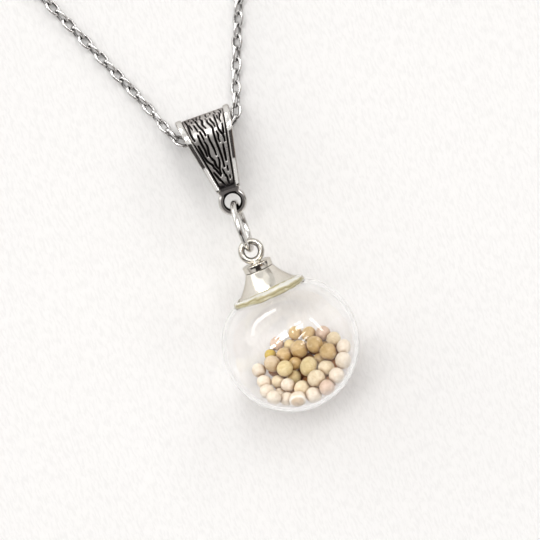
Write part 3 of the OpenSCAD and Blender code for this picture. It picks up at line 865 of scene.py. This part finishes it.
def open_ring():
    """A circle of wire carried round a circle, but for a narrow gap. Both ends are cut flat."""
    turns, sides = 120, 20
    opening = RING_GAP / RING_R / 2
    start = math.radians(SPLIT_TURN)
    u = np.linspace(start + opening, start + 2 * np.pi - opening, turns)
    u = np.concatenate([u[[0, 0]], u, u[[-1, -1]]])[:, None]
    cut = np.array([0.0, 0.9])
    size = np.concatenate([cut, np.ones(turns), cut[::-1]])[:, None] * RING_WIRE / 2
    v = full_turn(sides)[None, :]
    points = around(RING_R + size * np.cos(v), u, size * np.sin(v))
    return points.reshape(-1, 3), grid_faces(len(u), sides, False, True)


class PENDANT_OT_jump_ring(bpy.types.Operator):
    """The open ring of round wire between the bail and the cap"""
    bl_idname = "pendant.jump_ring"
    bl_label = "Jump ring"

    def execute(self, context):
        ring = placed(open_ring(), RING_TURN, RING_AT)
        silver = silver_finish("ring_silver", (0.74, 0.725, 0.70), (0.62, 0.605, 0.585), shine=0.09)
        make_piece("jump_ring_wire", [ring], silver, ["jump_ring"])
        return {"FINISHED"}


# Cap and glue

# The cap and the glass under it, in millimetres along and across the cap's axis from the ball's
# middle. Round its mouth the glass follows a larger sphere, whose centre lies lower on the axis
DOME_R = 12.0
DOME_AT = -2.7
CAP_TOP = 12.85
BELL_TOP = 11.85
RIM_R = 4.55
RIM_GAP, RIM_HEIGHT = 0.08, 0.2
RIM_AT = DOME_AT + math.sqrt((DOME_R + RIM_GAP)**2 - RIM_R**2) + RIM_HEIGHT
RIM_SKEW = 0.15
NECK_R = 2.1
CAP_LEAN = math.radians(24)
FLARE_R = math.hypot(RIM_R - NECK_R, BELL_TOP - RIM_AT) / 2 / math.sin(
    math.atan2(RIM_R - NECK_R, BELL_TOP - RIM_AT) - CAP_LEAN)

# The eye's middle line, its wire, its middle, and how far it tips, in degrees
EYE_R, EYE_WIRE, EYE_AT = 1.43 * MM, 0.94 * MM, 14.7 * MM
EYE_TIP = 5


def dome_height(radius):
    """The height of the glass round its mouth at a distance from the axis."""
    return DOME_AT + np.sqrt(DOME_R**2 - radius**2)


def bell_radius(height):
    """The bell's radius at a height: a circle that leaves the collar at CAP_LEAN from the axis."""
    sine = np.clip((BELL_TOP - height) / FLARE_R + math.sin(CAP_LEAN), 0, 1)
    return NECK_R + FLARE_R * (math.cos(CAP_LEAN) - np.sqrt(1 - sine**2))


def skewed(shape):
    """The bell set down a little lower on its left: a shear that grows from the collar to the rim."""
    points = shape[0] / MM
    share = np.clip((BELL_TOP - points[:, 2]) / (BELL_TOP - RIM_AT), 0, 1)
    points[:, 2] += RIM_SKEW * points[:, 0] / RIM_R * share
    reach = np.minimum(np.hypot(points[:, 0], points[:, 1]), RIM_R + 0.1)
    points[:, 2] = np.maximum(points[:, 2], dome_height(reach) + 0.03)
    return (points * MM, *shape[1:])


def with_painted_reflections(points, faces, sides):
    """A torus, its relief painted reflections: low in a line along the inner side, a little lower
    outside.
    """
    v = full_turn(sides)
    inner, outer = rising(-np.cos(v), 0.45, 0.4), rising(np.cos(v), 0.2, 0.4)
    # Painted reflections: dark along the inner side, dimmer outside
    relief = 1 - 0.75 * inner - 0.22 * outer
    return points, faces, np.tile(relief, len(points) // sides)


def bell_shape():
    """The bell and its collar: a profile turned about the cap's axis, and then skewed.

    It runs over the collar and through a fine groove, darkened as painted shade, down the flare,
    round the rim, and back up inside, where it stays clear of the glass.
    """
    turns = 128
    collar_r = [0, 0.6, 2.08, 2.15, 2.19, 2.19, 2.14, 2.12, 2.0, 2.0]
    collar_z = [CAP_TOP + 0.02, CAP_TOP + 0.02, CAP_TOP + 0.02, CAP_TOP, CAP_TOP - 0.04,
                CAP_TOP - 0.09, BELL_TOP + 0.10, BELL_TOP + 0.07, BELL_TOP + 0.05, BELL_TOP - 0.01]
    groove = slice(8, 10)
    down_z = np.linspace(BELL_TOP - 0.03, RIM_AT, 40)
    down_r = bell_radius(down_z)
    edge_r = [RIM_R + 0.01, RIM_R + 0.01, RIM_R - 0.06]
    edge_z = [RIM_AT - 0.04, RIM_AT - 0.12, RIM_AT - 0.16]
    up_r, up_z = down_r[::-1] - 0.42, down_z[::-1] - 0.33
    up_z = np.maximum(up_z, dome_height(up_r) + 0.04)
    radii = np.concatenate([collar_r, down_r, edge_r, up_r, [0]]) * MM
    heights = np.concatenate([collar_z, down_z, edge_z, up_z, up_z[-1:]]) * MM
    relief = np.ones((len(radii), turns))
    # Painted shade: the groove's relief of 0 makes it dark
    relief[groove] = 0
    return skewed((*revolved(radii, heights, turns), relief.reshape(-1)))


def eye_shape():
    """The cap's eye: a ring that stands on the collar and tips a little."""
    turns, sides = 72, 20
    # The eye's relief holds painted reflections.
    ring = with_painted_reflections(*torus(EYE_R, EYE_WIRE, turns, sides), sides)
    return placed(ring, turn("X", 90 - EYE_TIP), [0, 0, EYE_AT])


def foot_shape():
    """The solder under the eye: a profile that narrows upwards from the collar."""
    radii = np.array([0, 1.05, 0.8, 0.62, 0.6, 0]) * MM
    heights = np.array([12.7, 12.8, 12.92, 13.08, 13.35, 13.35]) * MM
    return revolved(radii, heights, turns=32)


class PENDANT_OT_bell_cap(bpy.types.Operator):
    """The cap: a bell with a hollow flare, a polished collar with a fine groove, and an eye"""
    bl_idname = "pendant.bell_cap"
    bl_label = "Bell cap"

    def execute(self, context):
        shapes = [placed(shape, CAP_TURN, BALL_AT)
                  for shape in (bell_shape(), eye_shape(), foot_shape())]
        silver = silver_finish("cap_silver", (0.75, 0.715, 0.65), (0.70, 0.665, 0.60), shine=0.09)
        make_piece("bell_cap_metal", shapes, silver, ["bell_cap"])
        return {"FINISHED"}


# The bead's outer radius, and how far it climbs the bell on the side that faces up at this tilt
GLUE_R = 5.54
GLUE_CLIMB = 0.56
GLUE_TILT = math.radians(11)
# The bead's waves: the size of each, how many there are round the bead, and its start
GLUE_WAVES = ((0.10, 3, 0.6), (0.07, 7, 2.1), (0.04, 13, 0))


def glue_shape():
    """The bead: a section carried round the cap's axis, which three slow waves make uneven.

    The section bulges from the bell down to the glass, and then closes under the rim along the
    glass and up along the metal. Its relief is the share of the way over the bulge.
    """
    turns, steps = 192, 22
    u = full_turn(turns)[:, None]
    wave = sum(size * np.sin(count * u + start) for size, count, start in GLUE_WAVES)
    upper = CAP_TURN.T @ np.array([0, math.sin(GLUE_TILT), math.cos(GLUE_TILT)])
    facing = np.maximum(np.cos(u - math.atan2(upper[1], upper[0])), 0)
    top_z = RIM_AT + 0.02 + GLUE_CLIMB * facing + 0.1 * wave * facing
    top_r = bell_radius(top_z) - 0.02
    top_z = top_z + RIM_SKEW * np.cos(u)
    low_r = GLUE_R - 0.05 * facing + 0.35 * wave
    low_z = dome_height(low_r) + 0.03
    share = np.linspace(0, 1, steps)[None, :]
    bulge = (0.30 + 0.10 * facing + 0.2 * wave) * np.sin(np.pi * share**1.35)
    over_r = top_r + (low_r - top_r) * share + 0.62 * bulge
    over_z = top_z + (low_z - top_z) * share + 0.78 * bulge
    back = np.linspace(1, 0, 7)[None, 1:-1]
    under_r = RIM_R + (low_r - RIM_R) * back
    under_z = dome_height(under_r) + 0.02
    metal_z = RIM_AT + (top_z - RIM_AT) * np.linspace(0, 1, 5)[None, :-1]
    metal_r = bell_radius(metal_z) + 0.01
    r = np.concatenate([over_r, under_r, metal_r], 1) * MM
    z = np.concatenate([over_z, under_z, metal_z], 1) * MM
    points = around(r, u, z)
    across = np.concatenate([share, back, 0 * metal_z[:1]], 1) + 0 * u
    return points.reshape(-1, 3), grid_faces(turns, r.shape[1], True, True), across.reshape(-1)


class PENDANT_OT_glue_ring(bpy.types.Operator):
    """The bead of clear glue that squeezed out between the cap's rim and the glass"""
    bl_idname = "pendant.glue_ring"
    bl_label = "Glue"

    def execute(self, context):
        glue = placed(glue_shape(), CAP_TURN, BALL_AT)
        material = glue_finish(context.scene.pendant_ball.glue_colour)
        make_piece("glue_bead", [glue], material, ["glue_ring"])
        return {"FINISHED"}


# Glass ball

# How softly the two spheres of the glass run into one another, in millimetres
BLEND = 0.1


def skin(radius, dome, angle):
    """Distance from the ball's middle to a skin of the glass, at an angle from the cap's axis.

    It is the smaller of the ball's sphere and the flatter sphere round the mouth, blended.
    """
    flat = DOME_AT * np.cos(angle) + np.sqrt(dome**2 - (DOME_AT * np.sin(angle))**2)
    return -BLEND * np.logaddexp(-radius / BLEND, -flat / BLEND)


def shell_shape(wall, mouth):
    """The glass, turned about the cap's axis: up the outer skin, over the lip and down the inner."""
    ball, high = BALL_R / MM, dome_height(mouth)
    low = high - wall
    rows, turns, lip = 120, 192, 0.03
    out_at = np.linspace(np.pi, math.atan2(mouth, high) + lip, rows)
    in_at = np.linspace(math.atan2(mouth, low) + lip, np.pi, rows)
    out_d, in_d = skin(ball, DOME_R, out_at), skin(ball - wall, DOME_R - wall, in_at)
    radii = np.concatenate([out_d * np.sin(out_at), [mouth, mouth], in_d * np.sin(in_at)]) * MM
    heights = np.concatenate([out_d * np.cos(out_at), [high - 0.12, low + 0.12],
                              in_d * np.cos(in_at)]) * MM
    radii[0] = radii[-1] = 0
    return revolved(radii, heights, turns)


class PENDANT_OT_glass_ball(bpy.types.Operator):
    """The blown ball: an outer and an inner skin, joined by a rounded lip at the mouth"""
    bl_idname = "pendant.glass_ball"
    bl_label = "Glass ball"

    def execute(self, context):
        settings = context.scene.pendant_ball
        shell = placed(shell_shape(settings.wall / MM, settings.mouth / MM), CAP_TURN, BALL_AT)
        make_piece("glass_ball_shell", [shell], glass_finish(), ["glass_ball"])
        return {"FINISHED"}


# Seeds

def seed_shape(radius, swell, chance):
    """A seed: a sphere drawn out a little along one axis, with shallow waves and a small dimple."""
    rows, columns = 28, 40
    v = np.linspace(0, np.pi, rows)[:, None]
    u = full_turn(columns)[None, :]
    away = np.stack([np.sin(v) * np.cos(u), np.sin(v) * np.sin(u), np.cos(v) + 0 * u], -1)
    wave_height, dimple_depth, dimple_width = 0.010, 0.07, 0.035
    waves = np.zeros((rows, columns))
    for _ in range(4):
        direction = chance.normal(size=3)
        direction /= np.linalg.norm(direction)
        waves += wave_height * np.sin(away @ direction * chance.uniform(2.0, 4.0) + chance.uniform(0, 6))
    dimple = dimple_depth * np.exp(-((1 - away[..., 2]) / dimple_width) ** 2)
    drawn = np.array([1.0, chance.uniform(0.93, 0.99), chance.uniform(0.95, 1.0)])
    points = away * drawn * (1 + waves - dimple)[..., None]
    points *= (radius + swell) / np.linalg.norm(points, axis=-1).max()
    spin = np.linalg.qr(chance.normal(size=(3, 3)))[0]
    spin *= np.linalg.det(spin)
    return points.reshape(-1, 3) @ spin.T, grid_faces(rows, columns, False, True)


# How often the seeds are pushed apart, the share of their swell that counts in it, the share of the
# heap's slide that takes it to +X too, and the gap that it keeps from the glass
SETTLE_STEPS = 80
FIRM_SHARE = 0.6
SIDE_SHARE = 0.3
GLASS_GAP = 0.02 * MM


def settled(middles, radii, slide, inside):
    """The seeds' middles once the heap has moved to the ball's free end and come to rest there.

    Each step pushes every two seeds that overlap apart by half of the overlap each, and brings a
    seed that passes the glass back to it.
    """
    at = middles - BALL_AT + np.array([SIDE_SHARE * slide, -slide, 0])
    most = (inside - radii - GLASS_GAP)[:, None]
    for _ in range(SETTLE_STEPS):
        apart = at[:, None] - at[None]
        away = np.linalg.norm(apart, axis=2) + np.eye(len(at))
        overlap = np.maximum(radii[:, None] + radii[None] - away, 0) * (1 - np.eye(len(at)))
        at = at + (apart / away[..., None] * overlap[..., None] / 2).sum(axis=1)
        at = at * np.minimum(1, most / np.linalg.norm(at, axis=1, keepdims=True))
    return at + BALL_AT


RANDOM_START = 11

# The tint of each seed in the order of their numbers, and how far its strength varies. Seeds after
# the last lie underneath, and are brown, painted shade for the heap's gaps. The pale tone is partly
# the seeds' own colour and partly painted glare of the glass in front of them
SEED_TONES = [
    "pink", "tan", "tan", "cream", "tan", "tan", "pale", "tan", "tan", "gold", "tan", "pink",
    "yellow", "dun", "pale", "pale", "gold", "tan", "gold", "gold", "tan", "cream", "pale", "pale",
    "cream", "cream", "pink", "pale", "pale", "cream", "pale", "pale", "pale", "pale", "pale",
]
TINT_RANGE = (0.94, 1.04)

# The seed drawn out along the view, and the seed with a white edge round a sunk hollow: the way
# that its hollow faces, how wide the mouth, the step inside it and the edge are, as cosines, and the
# edge's rise and the hollow's depth as shares of the seed's radius
LONG_SEED, LONG_WAY, LONG_FACTOR = 20, np.array([0.52, 0.83, -0.2]), 1.13
HULL_SEED, HULL_WAY = 34, np.array([-0.231, -0.464, 0.855])
HULL_MOUTH, HULL_STEP, HULL_EDGE = 0.36, 0.08, 0.11
HULL_RISE, HULL_DEPTH = 0.03, 0.10
HULL_TAN, EDGE_WHITE = np.array([0.56, 0.42, 0.28]), np.array([0.95, 0.93, 0.88])


def drawn_out(points, way, factor):
    """The shape longer by a factor along one way, and narrower across it."""
    along = (points @ way)[:, None] * way / (way @ way)
    return along * factor + (points - along) / math.sqrt(factor)


def white_edged_hollow(away, tint):
    """A seed with a hollow: sunk and tan inside a white edge, which stands a little proud.

    The edge lies where the cosine of the angle from the hull's way is HULL_MOUTH.
    """
    near = away @ HULL_WAY / np.linalg.norm(away, axis=1) / np.linalg.norm(HULL_WAY)
    edge = np.exp(-((near - HULL_MOUTH) / HULL_EDGE) ** 2)[:, None]
    inside = rising(near, HULL_MOUTH, HULL_STEP)[:, None]
    tint = tint + (HULL_TAN - tint) * inside
    tint = tint + (EDGE_WHITE - tint) * edge
    return away * (1 + HULL_RISE * edge - HULL_DEPTH * inside), tint


# How far a seed darkens its neighbours, and by what share of their red, green and blue
SHADE_REACH = 0.65 * MM
SHADE_DEPTH = np.array([0.50, 0.66, 0.80])


def contact_shade(points, middles, radii):
    """Three shares from 0 to 1 for each point, lower and browner the nearer another seed is."""
    away = np.linalg.norm(points[:, None] - middles[None], axis=2) - radii[None]
    near = rising(away.min(axis=1), 0, SHADE_REACH)[:, None]
    return 1 - (1 - eased(near)) * SHADE_DEPTH


class PENDANT_OT_seeds(bpy.types.Operator):
    """One slightly oval seed in the place of each seed's solid"""
    bl_idname = "pendant.seeds"
    bl_label = "Seeds"

    def execute(self, context):
        settings = context.scene.pendant_seeds
        finishes = {slot: seed_finish(slot) for slot in ("seed_tan", "seed_cream")}
        slots = {part["node"]: part["material_slot"] for part in frame["record"]["subparts"]}
        nodes = sorted(name for name in frame["nodes"] if name.startswith("seed_"))
        boxes = np.array([[list(corner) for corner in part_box(node)] for node in nodes])
        middles = boxes.mean(axis=1)
        radii = (boxes[:, 1] - boxes[:, 0]).max(axis=1) / 2
        wall = context.scene.pendant_ball.wall
        middles = settled(middles, radii + FIRM_SHARE * settings.swell, settings.slide, BALL_R - wall)
        chance = np.random.default_rng(RANDOM_START)
        for k, node in enumerate(nodes):
            points, faces = seed_shape(radii[k], settings.swell, chance)
            if k + 1 == LONG_SEED:
                points = drawn_out(points, LONG_WAY, LONG_FACTOR)
            points = points + middles[k]
            # Seeds underneath take the brown, painted shade for the heap's gaps
            tone = SEED_TONES[k] if k < len(SEED_TONES) else "brown"
            tint = np.array(getattr(settings, tone)) * chance.uniform(*TINT_RANGE)
            others = np.arange(len(nodes)) != k
            tint = tint * contact_shade(points, middles[others], radii[others])
            if k + 1 == HULL_SEED:
                points, tint = white_edged_hollow(points - middles[k], tint)
                points = points + middles[k]
            shape = (points, faces, tint)
            make_piece(node + "_coat", [shape], finishes[slots[node]], [node])
        return {"FINISHED"}


# Stage

# Half of the table's width in metres, and the place that the camera looks at
TABLE_HALF = 1.6
TARGET = Vector((1.54, -93.45, 8)) * MM


def look_matrix(target, distance, tilt, roll):
    """The camera's place: above the target, leaning towards +Y by tilt, turned by roll."""
    view = -Vector((0, math.sin(tilt), math.cos(tilt)))
    right = view.cross(Vector((0, 1, 0))).normalized()
    up = right.cross(view)
    right, up = (math.cos(roll) * right + math.sin(roll) * up,
                 -math.sin(roll) * right + math.cos(roll) * up)
    place = Matrix((right, up, -view)).transposed().to_4x4()
    place.translation = target - view * distance
    return place


# The grey of the room by the sine of the height above the horizon, at a strength of 1
ROOM = [(0.0, (0.56, 0.535, 0.51)), (0.24, (0.56, 0.535, 0.51)), (0.5, (0.84, 0.825, 0.81)),
        (0.78, (1.0, 0.99, 0.98))]

# Dark patches of the room: the reach of each in x and in y, and its colour. They fade at their
# edges, and below a height of SHADE_FOOT
SHADES = [((-0.82, -0.32), (-0.38, -0.13), (0.05, 0.043, 0.042)),
          ((-0.34, 0.31), (-0.38, -0.03), (0.05, 0.043, 0.042)),
          ((-0.35, 0.31), (-0.87, -0.36), (0.05, 0.043, 0.042)),
          ((0.33, 0.62), (-0.40, -0.09), (0.30, 0.21, 0.16)),
          ((0.48, 0.66), (-0.11, 0.08), (0.18, 0.15, 0.14)),
          ((0.69, 0.77), (-0.40, -0.04), (0.06, 0.05, 0.05)),
          ((0.92, 0.975), (-0.35, -0.02), (0.06, 0.05, 0.05)),
          ((0.09, 0.2), (0.955, 1.0), (0.22, 0.21, 0.2))]
SHADE_BLUR = 0.02
SHADE_FOOT = 0.1

# Bright windows: the two ends of each as directions, its width in degrees and its brightness.
# Their edges are WINDOW_BLUR degrees wide, and WINDOW_TINT is their colour
WINDOWS = [((-0.36, 0.462, 0.811), (0.024, 0.573, 0.82), 1.6, 2.0),
           ((-0.242, 0.40, 0.884), (0.018, 0.469, 0.883), 4.4, 3.0),
           ((-0.559, 0.255, 0.789), (-0.422, 0.307, 0.854), 4.0, 3.2),
           ((-0.368, 0.344, 0.864), (-0.259, 0.385, 0.886), 3.0, 2.0),
           ((0.287, 0.629, 0.723), (0.451, 0.613, 0.649), 1.6, 2.0),
           ((0.282, 0.524, 0.804), (0.483, 0.504, 0.716), 4.2, 2.2),
           ((0.157, 0.605, 0.781), (0.187, 0.611, 0.769), 2.4, 2.0),
           ((0.172, 0.521, 0.837), (0.178, 0.47, 0.865), 1.6, 2.0),
           ((-0.783, 0.569, 0.253), (-0.636, 0.761, 0.131), 2.5, 1.2),
           ((-0.636, 0.761, 0.131), (-0.453, 0.889, 0.079), 4.0, 1.6),
           ((-0.453, 0.889, 0.079), (-0.063, 0.998, 0.036), 6.0, 1.8),
           ((0.265, 0.267, 0.927), (0.496, 0.339, 0.80), 1.7, 2.2),
           ((0.351, 0.149, 0.925), (0.52, 0.205, 0.829), 1.7, 2.0),
           ((0.272, 0.085, 0.959), (0.374, 0.095, 0.923), 1.7, 0.9),
           ((0.70, 0.545, 0.46), (0.864, 0.136, 0.486), 2.0, 2.2)]
WINDOW_BLUR = 0.7
WINDOW_TINT = (1.0, 0.99, 0.97)

# Broad soft lights low round the far side, given like the windows
GLOWS = [((-0.9, 0.42, 0.12), (0.05, 0.97, 0.25), 26.0, 0.32),
         ((0.0, 0.93, 0.35), (0.45, 0.78, 0.43), 20.0, 0.2),
         ((0.2, 0.97, 0.12), (0.66, 0.75, 0.08), 16.0, 0.14)]
GLOW_BLUR = 5.0


class Sky(NodeTree):
    """The room's light, and short calls that work out where a patch of it lies."""

    def __init__(self, strength):
        world = bpy.data.worlds.new("studio")
        world.use_nodes = True
        super().__init__(world.node_tree, "ShaderNodeOutputWorld")
        self.light = self.add("ShaderNodeBackground")
        self.light.inputs["Strength"].default_value = strength
        self.link(self.light.outputs[0], self.output.inputs["Surface"])
        self.direction = self.add("ShaderNodeTexCoord").outputs["Generated"]
        bpy.context.scene.world = world

    def dot(self, vector):
        """How far each direction reaches along a vector."""
        node = self.add("ShaderNodeVectorMath", operation="DOT_PRODUCT")
        node.inputs[1].default_value = vector
        self.link(self.direction, node.inputs[0])
        return node.outputs["Value"]

    def step(self, value, low, high):
        """0 up to low, rising smoothly to 1 at high."""
        node = self.add("ShaderNodeMapRange", interpolation_type="SMOOTHSTEP")
        self.feed(node, {"Value": value, "From Min": low, "From Max": high})
        return node.outputs["Result"]

    def between(self, value, low, high, soft):
        """1 from low to high, falling to 0 within soft on both sides."""
        return self.math("MULTIPLY", self.step(value, low - soft, low),
                         self.math("SUBTRACT", 1.0, self.step(value, high, high + soft)))

    def window(self, first, last, width, soft):
        """1 along the arc between two directions, as wide as given in degrees, and 0 elsewhere."""
        first, last = Vector(first).normalized(), Vector(last).normalized()
        across = first.cross(last).normalized()
        middle = (first + last).normalized()
        half = math.degrees(first.angle(last)) / 2
        edge = math.sin(math.radians(width / 2))
        blur = math.sin(math.radians(soft))
        ends = self.step(self.dot(middle), math.cos(math.radians(half + soft)),
                         math.cos(math.radians(half)))
        return self.math("MULTIPLY", self.between(self.dot(across), -edge, edge, blur), ends)


def surroundings(strength, key):
    """A pale room that darkens towards the horizon, with dark patches and bright windows."""
    sky = Sky(strength)
    x, y, z = (sky.dot(axis) for axis in ((1, 0, 0), (0, 1, 0), (0, 0, 1)))
    colour = sky.ramp(z, ROOM)
    for reach_x, reach_y, tone in SHADES:
        shade = sky.math("MULTIPLY", sky.between(x, *reach_x, SHADE_BLUR),
                         sky.between(y, *reach_y, SHADE_BLUR))
        shade = sky.math("MULTIPLY", shade, sky.step(z, 0.0, SHADE_FOOT))
        colour = sky.mix(shade, colour, tone)
    lights = [(window, GLOW_BLUR) for window in GLOWS]
    lights += [(window, WINDOW_BLUR) for window in WINDOWS]
    for (first, last, width, share), soft in lights:
        light = sky.window(first, last, width, soft)
        colour = sky.mix(light, colour, tuple(key * share * tone for tone in WINDOW_TINT))
    sky.link(colour, sky.light.inputs["Color"])


class PENDANT_OT_stage(bpy.types.Operator):
    """The pale table, the room with its bright windows, and the camera"""
    bl_idname = "pendant.stage"
    bl_label = "Stage"

    def execute(self, context):
        settings = context.scene.pendant_stage
        scene = context.scene
        scene.view_settings.view_transform = "Standard"
        mesh = bpy.data.meshes.new("table")
        corners = [(x * TABLE_HALF, y * TABLE_HALF, 0) for x, y in ((-1, -1), (1, -1), (1, 1), (-1, 1))]
        mesh.from_pydata(corners, [], [(0, 1, 2, 3)])
        mesh.materials.append(paper_finish(settings.paper))
        table = bpy.data.objects.new("table", mesh)
        scene.collection.objects.link(table)

        surroundings(settings.sky, settings.key)

        lens = bpy.data.cameras.new("camera")
        lens.lens = settings.lens
        lens.clip_start, lens.clip_end = 0.01, 10
        camera = bpy.data.objects.new("camera", lens)
        camera.matrix_world = look_matrix(TARGET, settings.distance, settings.tilt, settings.roll)
        scene.collection.objects.link(camera)
        scene.camera = camera
        return {"FINISHED"}


class PENDANT_PT_panel(bpy.types.Panel):
    """Lists the steps that build the necklace"""
    bl_idname = "PENDANT_PT_panel"
    bl_label = "Glass Ball Pendant"
    bl_space_type = "VIEW_3D"
    bl_region_type = "UI"
    bl_category = "Pendant"

    def draw(self, context):
        for operator in OPERATORS:
            self.layout.operator(operator.bl_idname)


OPERATORS = (PENDANT_OT_stage, PENDANT_OT_chain, PENDANT_OT_clasp, PENDANT_OT_bail,
             PENDANT_OT_jump_ring, PENDANT_OT_bell_cap, PENDANT_OT_glue_ring,
             PENDANT_OT_glass_ball, PENDANT_OT_seeds)
SETTINGS = {"pendant_ball": BallSettings, "pendant_seeds": SeedSettings,
            "pendant_bail": BailSettings, "pendant_chain": ChainSettings,
            "pendant_stage": StageSettings}


def register():
    for name, group in SETTINGS.items():
        bpy.utils.register_class(group)
        setattr(bpy.types.Scene, name, PointerProperty(type=group))
    for each in (*OPERATORS, PENDANT_PT_panel):
        bpy.utils.register_class(each)


def unregister():
    for each in (PENDANT_PT_panel, *reversed(OPERATORS)):
        bpy.utils.unregister_class(each)
    for name, group in SETTINGS.items():
        delattr(bpy.types.Scene, name)
        bpy.utils.unregister_class(group)


def main():
    """Builds everything."""
    register()
    bpy.ops.pendant.stage()
    bpy.ops.pendant.chain()
    bpy.ops.pendant.clasp()
    bpy.ops.pendant.bail()
    bpy.ops.pendant.jump_ring()
    bpy.ops.pendant.bell_cap()
    bpy.ops.pendant.glue_ring()
    bpy.ops.pendant.glass_ball()
    bpy.ops.pendant.seeds()


if __name__ == "__main__":
    main()
